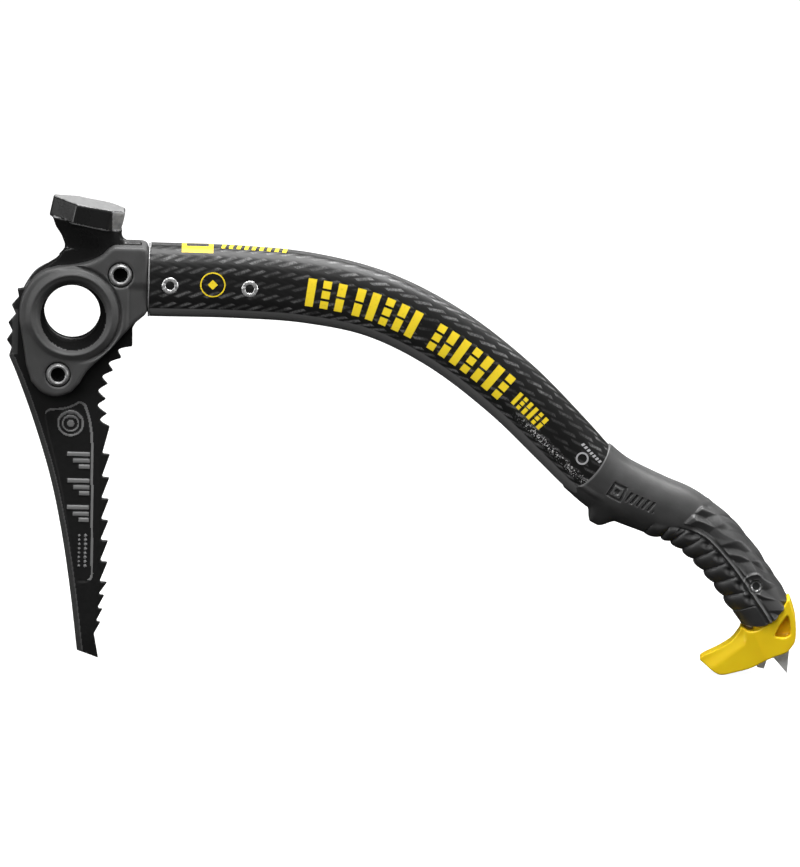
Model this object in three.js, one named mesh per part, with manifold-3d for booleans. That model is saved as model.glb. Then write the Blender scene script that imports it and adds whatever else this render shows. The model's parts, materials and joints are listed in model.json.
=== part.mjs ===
// A curved technical ice axe for steep ice, lying in its own plane like a drawing seen from the side.
//
// Units are millimetres and +Z is up. X runs from the pick towards the hand, and Y runs across the axe,
// so the whole tool is symmetric about the plane Y = 0. The axe stands on its pick tip and on the toe of
// its hand rest. Shapes are drawn with the centre of the head's hole at (0, 0); the group that holds them
// is then moved, so that the exported origin is on the ground under the middle of the axe.
import * as THREE from "three";
import { mergeVertices } from "three/addons/utils/BufferGeometryUtils.js";
import Module from "manifold-3d";

const wasm = await Module();
wasm.setup();

// ---- Driving dimensions ----------------------------------------------------------------------------
const GAP = 0.3; // between two pieces that touch
const GROUND = -207; // height of the ground below the hole in the head
const MIDDLE = 197; // half way between the pick's rear teeth and the hand rest's back

const HOLE = [0.4, 1.1]; // the round hole through the head
const HOLE_R = 16.6;
const HOLE_FLARE_R = 19.4; // its mouth on each cheek
const HOLE_THROAT_HALF = 4; // half the length of its narrow part
const DISH_R = 23.8; // crest of the dished ring round the mouth
const BOSS_R = 29; // outer foot of that ring
const CHEEK_HALF = 13.6; // half the head's thickness, over its cheeks
const BOSS_HALF = 15; // the same, over the ring
const SLOT_HALF = 5; // half the slot that takes the pick and the hammer's foot
const SLOT_END_X = 40.4; // where the slot stops, in front of the shaft
const SHOULDER_X = 44.6; // the head's shoulder, which the shaft butts against

const UPPER_BOLT = [28.5, 25.5];
const LOWER_BOLT = [-7, -35];
const BOLT_HEAD_R = 7;
const BOLT_HEAD_HEIGHT = 3.4;
const BOLT_SHANK_R = 3;
const SOCKET_R = 3.1; // across the corners of the hexagon socket
const SLEEVE_R = 4.5; // the barrel of the sleeve nut
const COUNTERBORE_R = BOLT_HEAD_R + 0.6;
const COUNTERBORE_DEPTH = 3.6;

const PICK_HALF = 2.1; // half the pick's thickness at the head
const PICK_TIP_HALF = 1.5; // half its thickness at the tip
const THINNING_START_Z = -120; // where the blade starts to thin
const THINNING_REACH = 60;
const PICK_POCKET_DEPTH = 0.6; // the forged pocket in each flank
const POCKET_CUT_HALF = 5;

const SHAFT_WALL = 2.2;
const SHAFT_START_X = 46;
const PIN_X = [57.8, 104.8]; // the two hollow rivets that hold the shaft on the head's tang
const PIN_Z = [20, 19.2];
const TANG_END = 1.5; // where along the shaft's stations the tang ends
const TANG_SLOT_START_X = 66; // a slot lightens the tang from here on
const RIVET_RIM_R = 5;
const RIVET_TUBE_R = 3.3;
const RIVET_BORE_R = 2.1;

const LOWER_RIVET = [407.5, -152.2];
const LOWER_RIM_R = 3.8;
const LOWER_TUBE_R = 3;
const LOWER_SEAT = 10.8; // its rims' distance from the mid-plane, just clear of the shaft
const RECESS_R = 5.6; // the opening in the grip round the lower rivet
const SPIKE_HALF = 2;
const KNOB_HALF = 6;
const REST_HALF = 11; // half the hand rest's thickness
const EYE_DEPTH = 7; // the leash recess in each of its sides

// The shaft's centre line from the head to its lower end: x, z, depth in the plane, width across it.
const SHAFT_STATIONS = [
  [46, 21, 43.8, 27],
  [100, 20.6, 43, 27],
  [140, 17.9, 41.8, 27],
  [180, 9.3, 39.8, 26.5],
  [220, -9.8, 38.8, 26],
  [260, -39.5, 38.2, 26],
  [290, -68.2, 37, 26],
  [305, -83.4, 35.8, 25.6],
  [316, -92.6, 29.4, 22],
  [332, -101.2, 27, 21.2],
  [352.4, -107.8, 25, 21],
  [375.8, -120.4, 24, 21],
  [395, -139.8, 24, 21],
  [412.4, -166.6, 24, 21],
];

const GRIP_FROM = 5; // a station above the grip, where its bore may start

// The rubber grip's own outline, over its finger ribs.
const GRIP_STATIONS = [
  [306.6, -84.6, 37.6, 27],
  [320, -95, 37.8, 28],
  [344.4, -105.6, 36, 28.6],
  [362.2, -112.2, 34.8, 28.6],
  [378.4, -124, 34.4, 28.4],
  [388.3, -134.9, 33.6, 28],
  [398.3, -147.9, 32.4, 27.6],
  [407.2, -160.8, 32, 27],
  [412.8, -168.8, 31.4, 26],
];

// ---- Helpers ---------------------------------------------------------------------------------------
const X_AXIS = new THREE.Vector3(1, 0, 0);
const ACROSS = new THREE.Vector3(0, 1, 0);
const UP = new THREE.Vector3(0, 0, 1);
const STEPS_PER_STATION = 2;
const SAME_POINT = 0.02; // two points of an outline that are closer than this are one
const MERGE_WITHIN = 1e-4; // and the same for the corners of a solid
const SIZE_TENSION = 0.1; // sections change almost evenly from station to station
const THROUGH = 20; // a cut that starts and ends this far from the mid-plane goes right through

/** A closed geometry as a manifold solid. */
function solid(geometry) {
  const bare = geometry.clone();
  bare.deleteAttribute("normal");
  bare.deleteAttribute("uv");
  const merged = mergeVertices(bare, MERGE_WITHIN);
  return new wasm.Manifold(
    new wasm.Mesh({
      numProp: 3,
      vertProperties: merged.attributes.position.array,
      triVerts: new Uint32Array(merged.index.array),
    }),
  );
}

/** A manifold solid as a geometry that three.js can draw. */
function geometryOf(body) {
  const { vertProperties, triVerts } = body.getMesh();
  const geometry = new THREE.BufferGeometry()
    .setAttribute("position", new THREE.BufferAttribute(vertProperties, 3))
    .setIndex(new THREE.BufferAttribute(triVerts, 1));
  geometry.computeVertexNormals();
  return geometry;
}

/** The same shape as straight edges, without the points that its curves share. */
function polygon(shape, curveSegments) {
  const points = shape.getPoints(curveSegments);
  return new THREE.Shape(points.filter((point, i) => point.distanceTo(points.at(i - 1)) > SAME_POINT));
}

/** A flat shape drawn in x and z, given a thickness of 2 * half across the axe, with bevelled edges. */
function plate(shape, half, bevel = 0, curveSegments = 10) {
  const depth = 2 * (half - bevel);
  return new THREE.ExtrudeGeometry(polygon(shape, curveSegments), {
    depth,
    bevelEnabled: bevel > 0,
    bevelThickness: bevel,
    bevelSize: bevel,
    bevelOffset: -bevel,
    bevelSegments: 2,
  })
    .translate(0, 0, -depth / 2)
    .rotateX(Math.PI / 2);
}

/** A solid turned about a line across the axe, from [radius, y] pairs, at a place in the plane. */
function turned(profile, [x, z], segments = 20) {
  const points = profile.map(([r, y]) => new THREE.Vector2(r, y));
  return new THREE.LatheGeometry(points, segments).translate(x, 0, z);
}

/** A round pin across the axe, from y0 to y1. */
const pin = (radius, y0, y1, at, segments = 20) =>
  turned([[0, y0], [radius, y0], [radius, y1], [0, y1]], at, segments);

/** The hole that a sleeve nut's barrel goes through. */
const sleeveHole = (at) => solid(pin(SLEEVE_R + GAP, -THROUGH, THROUGH, at));

/** A box between two corners. */
function box([x0, y0, z0], [x1, y1, z1]) {
  return new THREE.BoxGeometry(x1 - x0, y1 - y0, z1 - z0)
    .translate((x0 + x1) / 2, (y0 + y1) / 2, (z0 + z1) / 2);
}

/** A closed skin through rings of points, all with the same number of points. */
function loft(rings) {
  const sides = rings[0].length;
  const points = rings.flat();
  const faces = [];
  for (let i = 0; i + 1 < rings.length; i++) {
    for (let j = 0; j < sides; j++) {
      const a = i * sides + j;
      const b = i * sides + ((j + 1) % sides);
      faces.push(a, b, b + sides, a, b + sides, a + sides);
    }
  }
  const ends = [
    { ring: rings[0], first: 0, flip: true },
    { ring: rings.at(-1), first: points.length - sides, flip: false },
  ];
  for (const { ring, first, flip } of ends) {
    const middle = new THREE.Vector3();
    ring.forEach((point) => middle.add(point));
    const centre = points.push(middle.divideScalar(sides)) - 1;
    for (let j = 0; j < sides; j++) {
      const pair = [first + j, first + ((j + 1) % sides)];
      faces.push(...(flip ? pair.reverse() : pair), centre);
    }
  }
  return new THREE.BufferGeometry().setFromPoints(points).setIndex(faces);
}

/** The centre, direction and two sizes at a place counted in stations, so 1.5 is midway from 1 to 2. */
function along(stations, place) {
  const share = place / (stations.length - 1);
  const centres = stations.map(([x, z]) => new THREE.Vector3(x, 0, z));
  const line = new THREE.CatmullRomCurve3(centres, false, "centripetal");
  const depthsAndWidths = stations.map(([, , depth, width]) => new THREE.Vector3(depth, width, 0));
  const sizes = new THREE.CatmullRomCurve3(depthsAndWidths, false, "catmullrom", SIZE_TENSION);
  const forward = line.getTangent(share);
  const size = sizes.getPoint(share);
  return {
    centre: line.getPoint(share),
    forward,
    back: new THREE.Vector3(-forward.z, 0, forward.x),
    depth: size.x,
    width: size.y,
  };
}

/**
 * Rings of rounded sections along a station list, each made smaller all round by inset.
 * overrun adds a ring past each end, for a bore that breaks out there.
 */
function sections(stations, options = {}) {
  const last = stations.length - 1;
  const { from = 0, to = last, sides = 20, inset = 0, squareness = 2.35, overrun = 0 } = options;
  const steps = Math.max(1, Math.round((to - from) * STEPS_PER_STATION));
  const rings = [];
  for (let i = 0; i <= steps; i++) {
    const at = along(stations, from + ((to - from) * i) / steps);
    const ring = [];
    for (let j = 0; j < sides; j++) {
      const angle = (2 * Math.PI * j) / sides;
      const bow = (v) => Math.sign(v) * Math.abs(v) ** (2 / squareness);
      ring.push(
        at.centre.clone()
          .addScaledVector(at.back, bow(Math.sin(angle)) * (at.depth / 2 - inset))
          .addScaledVector(ACROSS, bow(Math.cos(angle)) * (at.width / 2 - inset)),
      );
    }
    rings.push(ring);
  }
  if (overrun) {
    const past = (ring, place, distance) => {
      const { forward } = along(stations, place);
      return ring.map((point) => point.clone().addScaledVector(forward, distance));
    };
    rings.unshift(past(rings[0], from, -overrun));
    rings.push(past(rings.at(-1), to, overrun));
  }
  return rings;
}

/** Goes on with a shape's outline: straight to the first point, then smoothly through the others. */
function smooth(shape, [first, ...rest]) {
  shape.lineTo(...first);
  shape.splineThru(rest.map(([x, z]) => new THREE.Vector2(x, z)));
}

/** A shape whose outline is a list of corners and smooth stretches (arrays of points to run through). */
function outline(...pieces) {
  const shape = new THREE.Shape();
  const start = Array.isArray(pieces[0][0]) ? pieces[0][0] : pieces[0];
  shape.moveTo(...start);
  for (const piece of pieces) {
    if (Array.isArray(piece[0])) smooth(shape, piece);
    else shape.lineTo(...piece);
  }
  return shape;
}

const FINISH = {
  forgedSteel: new THREE.MeshStandardMaterial({ color: 0x1c1c1e, roughness: 0.45, metalness: 0.7 }),
  anodised: new THREE.MeshStandardMaterial({ color: 0x4a4a4b, roughness: 0.6, metalness: 0.5 }),
  zinc: new THREE.MeshStandardMaterial({ color: 0x8d8f92, roughness: 0.35, metalness: 0.9 }),
  stainless: new THREE.MeshStandardMaterial({ color: 0xc9cbcd, roughness: 0.25, metalness: 1 }),
  carbon: new THREE.MeshStandardMaterial({ color: 0x232425, roughness: 0.3, metalness: 0.2 }),
  rubber: new THREE.MeshStandardMaterial({ color: 0x3a3a3b, roughness: 0.75, metalness: 0 }),
  yellowPlastic: new THREE.MeshStandardMaterial({ color: 0xf5cf1e, roughness: 0.45, metalness: 0 }),
  nylon: new THREE.MeshStandardMaterial({ color: 0x2a2a2a, roughness: 0.7, metalness: 0 }),
};

const axe = new THREE.Group();
const drawn = new THREE.Group();
drawn.position.set(-MIDDLE, 0, -GROUND);
axe.add(drawn);

/** Adds one named piece, drawn where it sits. */
function add(name, material, geometry) {
  const mesh = new THREE.Mesh(geometry, material);
  mesh.name = name;
  drawn.add(mesh);
  return mesh;
}

// ---- Pick ------------------------------------------------------------------------------------------
const PICK_SPINE = [
  [-36, -27.2], [-30.5, -40], [-20.6, -66.5], [-10.7, -98], [-3.7, -129], [1.9, -162], [7.3, -202.6],
];
const PICK_POINT = [20, GROUND];
const PICK_CLEARANCE = [17.2, -192.5]; // the hollow behind the point

// Hooking teeth from the point up to the head: each has a level upper edge at this height.
const FINE_TEETH = [-185, -177.2, -168.8];
const COARSE_TEETH = [-161, -148.8, -136, -123.8, -110.9, -98, -84];
const TOOTH_ROOT_X = 19.9;
const TOOTH_TIP_X = 24.5;

// Cusps left between the round bites near the head, and how deep each bite goes towards the spine.
const FIRST_CUSP = [24, -67.6];
const BITES = [
  { cusp: [22.2, -60], deep: [18.2, -64] },
  { cusp: [21.5, -51.2], deep: [16.6, -55.3] },
  { cusp: [22.4, -42], deep: [16.8, -46.3] },
  { cusp: [25.2, -34], deep: [19, -37.6] },
  { cusp: [30, -26.2], deep: [22.8, -29.3] },
  { cusp: [36.3, -19], deep: [28.3, -21.2] },
];
const REAR_TEETH = [[-36.3, -26.4], [-37.9, -17], [-37.1, -6.6], [-35.3, 4], [-32.1, 13.6]];
const REAR_ROOTS = [[-34.9, -21.4], [-34.5, -11.8], [-32.7, -1.4], [-31.1, 8.8]];

// The pick's tang inside the head: its front edge, its top, and its round back above the hole.
const PICK_FRONT = [[36.1, -8], [39.6, -2]];
const PICK_TOP = [[39.8, 30], [36, 33.6], [28, 34], [21.5, 31], [14, 23.8]];
const PICK_HEAD_R = 27.4;
const PICK_HEAD_END_ANGLE = 2.56;

function pickShape() {
  const shape = new THREE.Shape();
  shape.moveTo(...PICK_POINT);
  shape.lineTo(...PICK_CLEARANCE);
  FINE_TEETH.forEach((z, i) => {
    const lean = FINE_TEETH.length - i; // the fine row closes in on the spine towards the point
    shape.lineTo(TOOTH_TIP_X - 0.5 - lean, z - 0.3);
    shape.lineTo(TOOTH_ROOT_X - 0.55 * lean, z);
  });
  for (const z of COARSE_TEETH) {
    shape.lineTo(TOOTH_TIP_X, z - 0.3);
    shape.lineTo(TOOTH_ROOT_X, z);
  }
  shape.lineTo(...FIRST_CUSP);
  for (const { cusp, deep } of BITES) {
    shape.splineThru([new THREE.Vector2(...deep), new THREE.Vector2(...cusp)]);
  }
  for (const corner of PICK_FRONT) shape.lineTo(...corner);
  smooth(shape, PICK_TOP);
  const [topX, topZ] = PICK_TOP.at(-1);
  shape.absarc(0, 0, PICK_HEAD_R, Math.atan2(topZ, topX), PICK_HEAD_END_ANGLE, false);
  REAR_TEETH.toReversed().forEach(([x, z], i) => {
    shape.lineTo(x, z);
    const root = REAR_ROOTS.toReversed()[i];
    if (root) shape.lineTo(...root);
  });
  smooth(shape, PICK_SPINE);
  return shape;
}

const pocketShape = outline(
  [[-14.6, -60.6], [-12, -58], [-4, -57.2], [2, -55.2], [6, -53], [9.2, -54.6]],
  [[11.2, -60], [13, -68], [14, -78], [14.6, -110], [15.4, -150], [15.4, -157.6], [12.8, -161.6]],
  [[6.4, -161.8], [4.8, -154], [0, -126], [-5.6, -98], [-12.4, -72]],
);

/** Wedges that thin the blade towards its point, one on each flank. */
function flankWedges() {
  const [start, end] = [THINNING_START_Z, GROUND - 2];
  const outside = PICK_HALF + 4;
  const wedge = outline([PICK_HALF, start], [outside, start], [outside, end], [PICK_TIP_HALF, end]);
  // The wedge is drawn in y and z, so its own x becomes the axe's y.
  const sideways = new THREE.Matrix4().makeBasis(ACROSS, UP, X_AXIS);
  const far = new THREE.ExtrudeGeometry(wedge, { depth: 2 * THINNING_REACH, bevelEnabled: false })
    .translate(0, 0, -THINNING_REACH)
    .applyMatrix4(sideways);
  return [far, far.clone().rotateZ(Math.PI)];
}

{
  let body = solid(plate(pickShape(), PICK_HALF, 0, 6));
  body = body.subtract(solid(pin(HOLE_R, -THROUGH, THROUGH, HOLE, 36)));
  for (const at of [UPPER_BOLT, LOWER_BOLT]) body = body.subtract(sleeveHole(at));
  for (const wedge of flankWedges()) body = body.subtract(solid(wedge));
  for (const side of [-1, 1]) {
    const away = PICK_HALF - PICK_POCKET_DEPTH + POCKET_CUT_HALF;
    const pocket = plate(pocketShape, POCKET_CUT_HALF, 0, 4).translate(0, side * away, 0);
    body = body.subtract(solid(pocket));
  }
  add("pick", FINISH.forgedSteel, geometryOf(body));
}

// ---- Hammer ----------------------------------------------------------------------------------------
const HAMMER_TILT = THREE.MathUtils.degToRad(11.4); // its striking face slopes down towards the shaft
const HAMMER_TOP = [-11.8, 70.5]; // front end of the striking face
const HAMMER_HEIGHT = 12.6;
const HAMMER_BEVEL = 1;
const TANG_CUT_END_ANGLE = 2.94;
// The striking face from above: distance back from its front end, and half width.
const HAMMER_FACE = [[0, 2.6], [14.4, 14.6], [35, 13.2], [42.6, 6.4]];

function hammerHead() {
  const corners = [...HAMMER_FACE, ...HAMMER_FACE.toReversed().map(([u, w]) => [u, -w])];
  const face = outline(...corners);
  return new THREE.ExtrudeGeometry(face, {
    depth: HAMMER_HEIGHT - 2 * HAMMER_BEVEL,
    bevelThickness: HAMMER_BEVEL,
    bevelSize: HAMMER_BEVEL,
    bevelOffset: -HAMMER_BEVEL,
    bevelSegments: 2,
  })
    .translate(0, 0, HAMMER_BEVEL - HAMMER_HEIGHT)
    .rotateY(HAMMER_TILT)
    .translate(HAMMER_TOP[0], 0, HAMMER_TOP[1]);
}

/** The neck narrows from the hammer head down to the foot that goes into the head's slot. */
function hammerNeck() {
  const rows = [
    { left: [-12.8, 58.8], right: [29, 50.4], half: 11.4 },
    { left: [-10.6, 52.4], right: [28.6, 48], half: 8.6 },
    { left: [-7, 46.8], right: [29.6, 45.4], half: 6.4 },
    { left: [-4.9, 41.4], right: [33, 43.4], half: 5.2 },
    { left: [-5, 38.4], right: [34, 40], half: SLOT_HALF - GAP },
    { left: [-8.4, 35], right: [34, 36], half: SLOT_HALF - GAP },
  ];
  return loft(
    rows.toReversed().map(({ left, right, half }) => {
      const ring = [];
      const sides = 20;
      for (let j = 0; j < sides; j++) {
        const angle = (2 * Math.PI * j) / sides;
        const bow = (v) => Math.sign(v) * Math.abs(v) ** 0.5;
        const share = (1 - bow(Math.cos(angle))) / 2;
        ring.push(
          new THREE.Vector3(
            THREE.MathUtils.lerp(left[0], right[0], 1 - share),
            bow(Math.sin(angle)) * half,
            THREE.MathUtils.lerp(left[1], right[1], 1 - share),
          ),
        );
      }
      return ring;
    }),
  );
}

const footShape = outline(
  [[-25.2, 19], [-20.8, 24.2], [-14.4, 29], [-8.8, 33], [-5, 38.4]],
  [33, 43.4],
  [40, 43.4],
  [40, 22],
  [[34, 17], [22, 17.4], [17.4, 22.4]],
  [[10, 26.2], [0, 28], [-10, 26.2], [-18, 21.6], [-22.6, 17.2]],
);

{
  const foot = solid(plate(footShape, SLOT_HALF - GAP, 0, 5));
  let body = foot.add(solid(hammerNeck())).add(solid(hammerHead()));
  // The foot is forked, so that it straddles the pick's tang round the upper bolt.
  const tang = outline([-30, -10], [60, -10], [60, 35], [19, 35], [13.4, 26.6]);
  const [topX, topZ] = PICK_TOP.at(-1);
  tang.absarc(0, 0, PICK_HEAD_R + GAP, Math.atan2(topZ, topX), TANG_CUT_END_ANGLE, false);
  body = body.subtract(solid(plate(tang, PICK_HALF + GAP, 0, 8)));
  body = body.subtract(sleeveHole(UPPER_BOLT));
  body = body.subtract(solid(pin(HOLE_R + 1, -THROUGH, THROUGH, HOLE, 36)));
  add("hammer", FINISH.forgedSteel, geometryOf(body));
}

// ---- Head: a forged fork with two cheeks, a slot between them and a tang in the shaft ------------------
const cheekShape = outline(
  [24.6, 42.4],
  [[40.4, 42.4], [43.2, 41.4], [SHOULDER_X, 38.6]],
  [[SHOULDER_X, 4.6], [43.8, 2], [41.4, -0.2]],
  [[36.4, -4.6], [30.4, -11.2], [23.8, -19.2], [15, -27.6], [9.6, -33.4], [5.6, -40.4]],
  [[1, -45.4], [-8, -48.4], [-16.6, -46], [-22.8, -39.6]],
  [[-26, -29.8], [-28.2, -16], [-30.4, -4], [-30.6, 5], [-28.4, 12.8], [-22, 21.8], [-15, 26.8]],
  [[-8, 29.2], [2, 30.6], [11, 33], [17, 36.2], [21.6, 40.6]],
);

{
  let body = solid(plate(cheekShape, CHEEK_HALF, 1.8, 5));
  const ring = [
    [0, -BOSS_HALF + 2.4],
    [DISH_R - 3, -BOSS_HALF + 1.2],
    [DISH_R, -BOSS_HALF],
    [DISH_R + 1.4, -BOSS_HALF + 0.2],
    [BOSS_R, -CHEEK_HALF + 1],
  ];
  const mirrored = ring.toReversed().map(([r, y]) => [r, -y]);
  body = body.add(solid(turned([...ring, ...mirrored], HOLE, 36)));
  const neck = sections(SHAFT_STATIONS, { to: TANG_END, inset: SHAFT_WALL + GAP });
  const root = neck[0].map((p) => p.clone().setX(SLOT_END_X + 1));
  body = body.add(solid(loft([root, ...neck])));
  const slot = (x0, x1) => solid(box([x0, -SLOT_HALF, -80], [x1, SLOT_HALF, 80]));
  body = body.subtract(slot(-60, SLOT_END_X)).subtract(slot(TANG_SLOT_START_X, 200));
  const flare = [
    [0, -THROUGH],
    [HOLE_FLARE_R + 1.2, -THROUGH],
    [HOLE_FLARE_R, -BOSS_HALF + 1.4],
    [HOLE_R + 1, -HOLE_THROAT_HALF - 5],
    [HOLE_R, -HOLE_THROAT_HALF],
  ];
  const farFlare = flare.toReversed().map(([r, y]) => [r, -y]);
  body = body.subtract(solid(turned([...flare, ...farFlare], HOLE, 36)));
  for (const at of [UPPER_BOLT, LOWER_BOLT]) {
    body = body.subtract(sleeveHole(at));
    body = body.subtract(solid(pin(COUNTERBORE_R, -THROUGH, -CHEEK_HALF + COUNTERBORE_DEPTH, at, 24)));
    body = body.subtract(solid(pin(COUNTERBORE_R, CHEEK_HALF - COUNTERBORE_DEPTH, THROUGH, at, 24)));
  }
  PIN_X.forEach((x, i) => {
    body = body.subtract(solid(pin(RIVET_TUBE_R + GAP, -THROUGH, THROUGH, [x, PIN_Z[i]], 20)));
  });
  add("head_fork", FINISH.anodised, geometryOf(body));
}

// ---- Collar ring between the head's shoulder and the shaft ----------------------------------------------
{
  const face = sections(SHAFT_STATIONS, { inset: -0.2 })[0];
  const inside = sections(SHAFT_STATIONS, { inset: SHAFT_WALL - GAP })[0];
  const slab = (ring, ...ends) => solid(loft(ends.map((x) => ring.map((point) => point.clone().setX(x)))));
  const disc = slab(face, SHOULDER_X + GAP, SHAFT_START_X - GAP);
  const body = disc.subtract(slab(inside, SHOULDER_X - 2, SHAFT_START_X + 2));
  add("shaft_collar", FINISH.zinc, geometryOf(body));
}

// ---- Bolts and sleeve nuts ---------------------------------------------------------------------------
const SEAT_Y = CHEEK_HALF - COUNTERBORE_DEPTH + GAP; // distance of both seats from the mid-plane
const HEAD_TOP_Y = SEAT_Y + BOLT_HEAD_HEIGHT;

const hexSocket = (y0, y1) => pin(SOCKET_R, y0, y1, [0, 0], 6);
const boltPlaces = Object.entries({ upper: UPPER_BOLT, lower: LOWER_BOLT });

for (const [where, [x, z]] of boltPlaces) {
  const boltProfile = [
    [0, -HEAD_TOP_Y],
    [BOLT_HEAD_R - 1.6, -HEAD_TOP_Y],
    [BOLT_HEAD_R, -HEAD_TOP_Y + 1.4],
    [BOLT_HEAD_R, -SEAT_Y],
    [BOLT_SHANK_R, -SEAT_Y],
    [BOLT_SHANK_R, SEAT_Y - 3],
    [BOLT_SHANK_R - 0.6, SEAT_Y - 2.4],
    [0, SEAT_Y - 2.4],
  ];
  const [coneFoot, coneMouth] = [-HEAD_TOP_Y + 0.6, -HEAD_TOP_Y - 0.1];
  const countersink = [[0, coneMouth], [SOCKET_R + 1.3, coneMouth], [SOCKET_R, coneFoot], [0, coneFoot]];
  const cone = turned(countersink, [0, 0]);
  const bolt = solid(turned(boltProfile, [0, 0]))
    .subtract(solid(hexSocket(-HEAD_TOP_Y - 1, -HEAD_TOP_Y + 2.8)))
    .subtract(solid(cone));
  add(`${where}_bolt`, FINISH.zinc, geometryOf(bolt)).position.set(x, 0, z);

  const barrelEnd = -SEAT_Y + 0.6;
  const sleeveProfile = [
    [BOLT_SHANK_R + GAP, barrelEnd],
    [SLEEVE_R, barrelEnd],
    [SLEEVE_R, SEAT_Y],
    [BOLT_HEAD_R, SEAT_Y],
    [BOLT_HEAD_R, HEAD_TOP_Y - 1.4],
    [BOLT_HEAD_R - 1.6, HEAD_TOP_Y],
    [0, HEAD_TOP_Y],
    [0, SEAT_Y - 1.6],
    [BOLT_SHANK_R + GAP, SEAT_Y - 1.6],
  ];
  const sleeve = solid(turned([...sleeveProfile, sleeveProfile[0]], [0, 0]))
    .subtract(solid(hexSocket(HEAD_TOP_Y - 2.4, HEAD_TOP_Y + 1)));
  add(`${where}_sleeve_nut`, FINISH.zinc, geometryOf(sleeve)).position.set(x, 0, z);
}

// ---- Shaft -------------------------------------------------------------------------------------------
const RIVET_SEAT = 12.7; // where the rivets' rims are let into each side of the shaft

{
  const outer = solid(loft(sections(SHAFT_STATIONS)));
  const bore = solid(loft(sections(SHAFT_STATIONS, { inset: SHAFT_WALL, overrun: 1 })));
  let body = outer.subtract(bore);
  PIN_X.forEach((x, i) => {
    body = body.subtract(solid(pin(RIVET_TUBE_R + GAP, -THROUGH, THROUGH, [x, PIN_Z[i]], 20)));
    for (const side of [-1, 1]) {
      const [y0, y1] = [side * RIVET_SEAT, side * THROUGH].sort((a, b) => a - b);
      body = body.subtract(solid(pin(RIVET_RIM_R + GAP, y0, y1, [x, PIN_Z[i]], 24)));
    }
  });
  body = body.subtract(solid(pin(LOWER_TUBE_R + GAP, -THROUGH, THROUGH, LOWER_RIVET, 20)));
  add("shaft", FINISH.carbon, geometryOf(body));
}

/** A hollow rivet across the axe, with a flared rim that sits at a distance of seat on each side. */
function rivet(rim, tube, bore, seat, [x, z]) {
  const top = seat + 0.9;
  const side = [[bore + 0.8, -top], [rim - 0.6, -top], [rim, -seat - 0.5], [rim, -seat], [tube, -seat]];
  const far = side.toReversed().map(([r, y]) => [r, -y]);
  const wall = [[bore, seat], [bore, -seat]];
  return turned([...side, ...far, ...wall, side[0]], [x, z], 24);
}

["front_shaft_rivet", "rear_shaft_rivet"].forEach((name, i) => {
  const geometry = rivet(RIVET_RIM_R, RIVET_TUBE_R, RIVET_BORE_R, RIVET_SEAT + GAP, [PIN_X[i], PIN_Z[i]]);
  add(name, FINISH.stainless, geometry);
});

// ---- Grip --------------------------------------------------------------------------------------------
const GRIP_END = [[399.4, -177.4], [404, -179.4], [410, -178], [417.4, -172], [423.6, -164.6], [426, -160]];

/** Everything below the grip's round lower end, drawn long enough to cut across it. */
const belowGrip = outline(GRIP_END, [470, -160], [470, -240], [360, -240], [360, -177.4]);

/** The small knob under the index finger. */
const knobShape = outline(
  [300, -96],
  [[309.4, -109], [308.6, -113], [311, -116.6], [315.4, -117.4], [322, -116.6], [330, -118]],
  [334, -104],
);

{
  const tip = along(GRIP_STATIONS, GRIP_STATIONS.length - 1);
  const reach = tip.centre.clone().addScaledVector(tip.forward, 12);
  const longer = [...GRIP_STATIONS, [reach.x, reach.z, 30, 25.4]];
  let body = solid(loft(sections(longer, { squareness: 2.2 })));
  body = body.add(solid(plate(knobShape, KNOB_HALF, 0, 4)));
  body = body.subtract(solid(plate(belowGrip, 30, 0, 5)));
  const bore = loft(sections(SHAFT_STATIONS, { from: GRIP_FROM, inset: -GAP, overrun: 20 }));
  body = body.subtract(solid(bore));
  body = body.subtract(solid(pin(RECESS_R, -THROUGH, THROUGH, LOWER_RIVET, 24)));
  add("grip", FINISH.rubber, geometryOf(body));
}

// ---- Plug, spike and hand rest at the lower end ---------------------------------------------------------
const spikeShape = outline(
  [428.6, -189],
  [427.4, -206.2],
  [419.2, -197],
  [415.4, -198.4],
  [413.8, -203.8],
  [409.6, -203],
  [406.6, -190],
  [406.4, -175],
  [397.4, -151],
  [402.4, -143.4],
  [409.4, -149.4],
  [416.4, -165],
  [415, -178],
  [414.4, -187.6],
);

/** A solid all round a flat piece, with a gap between them, for cutting its slot. */
function jacket(shape, half) {
  return new THREE.ExtrudeGeometry(polygon(shape, 4), {
    depth: 2 * half,
    bevelThickness: GAP,
    bevelSize: GAP,
    bevelSegments: 1,
  })
    .translate(0, 0, -half)
    .rotateX(Math.PI / 2);
}

const PLUG_FROM = 11.5; // where along the shaft's stations the plug starts
const lowerHole = () => solid(pin(LOWER_TUBE_R + GAP, -THROUGH, THROUGH, LOWER_RIVET, 20));

{
  const body = solid(loft(sections(SHAFT_STATIONS, { from: PLUG_FROM, inset: SHAFT_WALL + GAP })));
  const slotted = body.subtract(solid(jacket(spikeShape, SPIKE_HALF)));
  add("end_plug", FINISH.nylon, geometryOf(slotted.subtract(lowerHole())));
}

{
  const body = solid(plate(spikeShape, SPIKE_HALF)).subtract(lowerHole());
  add("spike", FINISH.stainless, geometryOf(body));
}

{
  const geometry = rivet(LOWER_RIM_R, LOWER_TUBE_R, RIVET_BORE_R, LOWER_SEAT, LOWER_RIVET);
  add("lower_rivet", FINISH.stainless, geometry);
}

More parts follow.
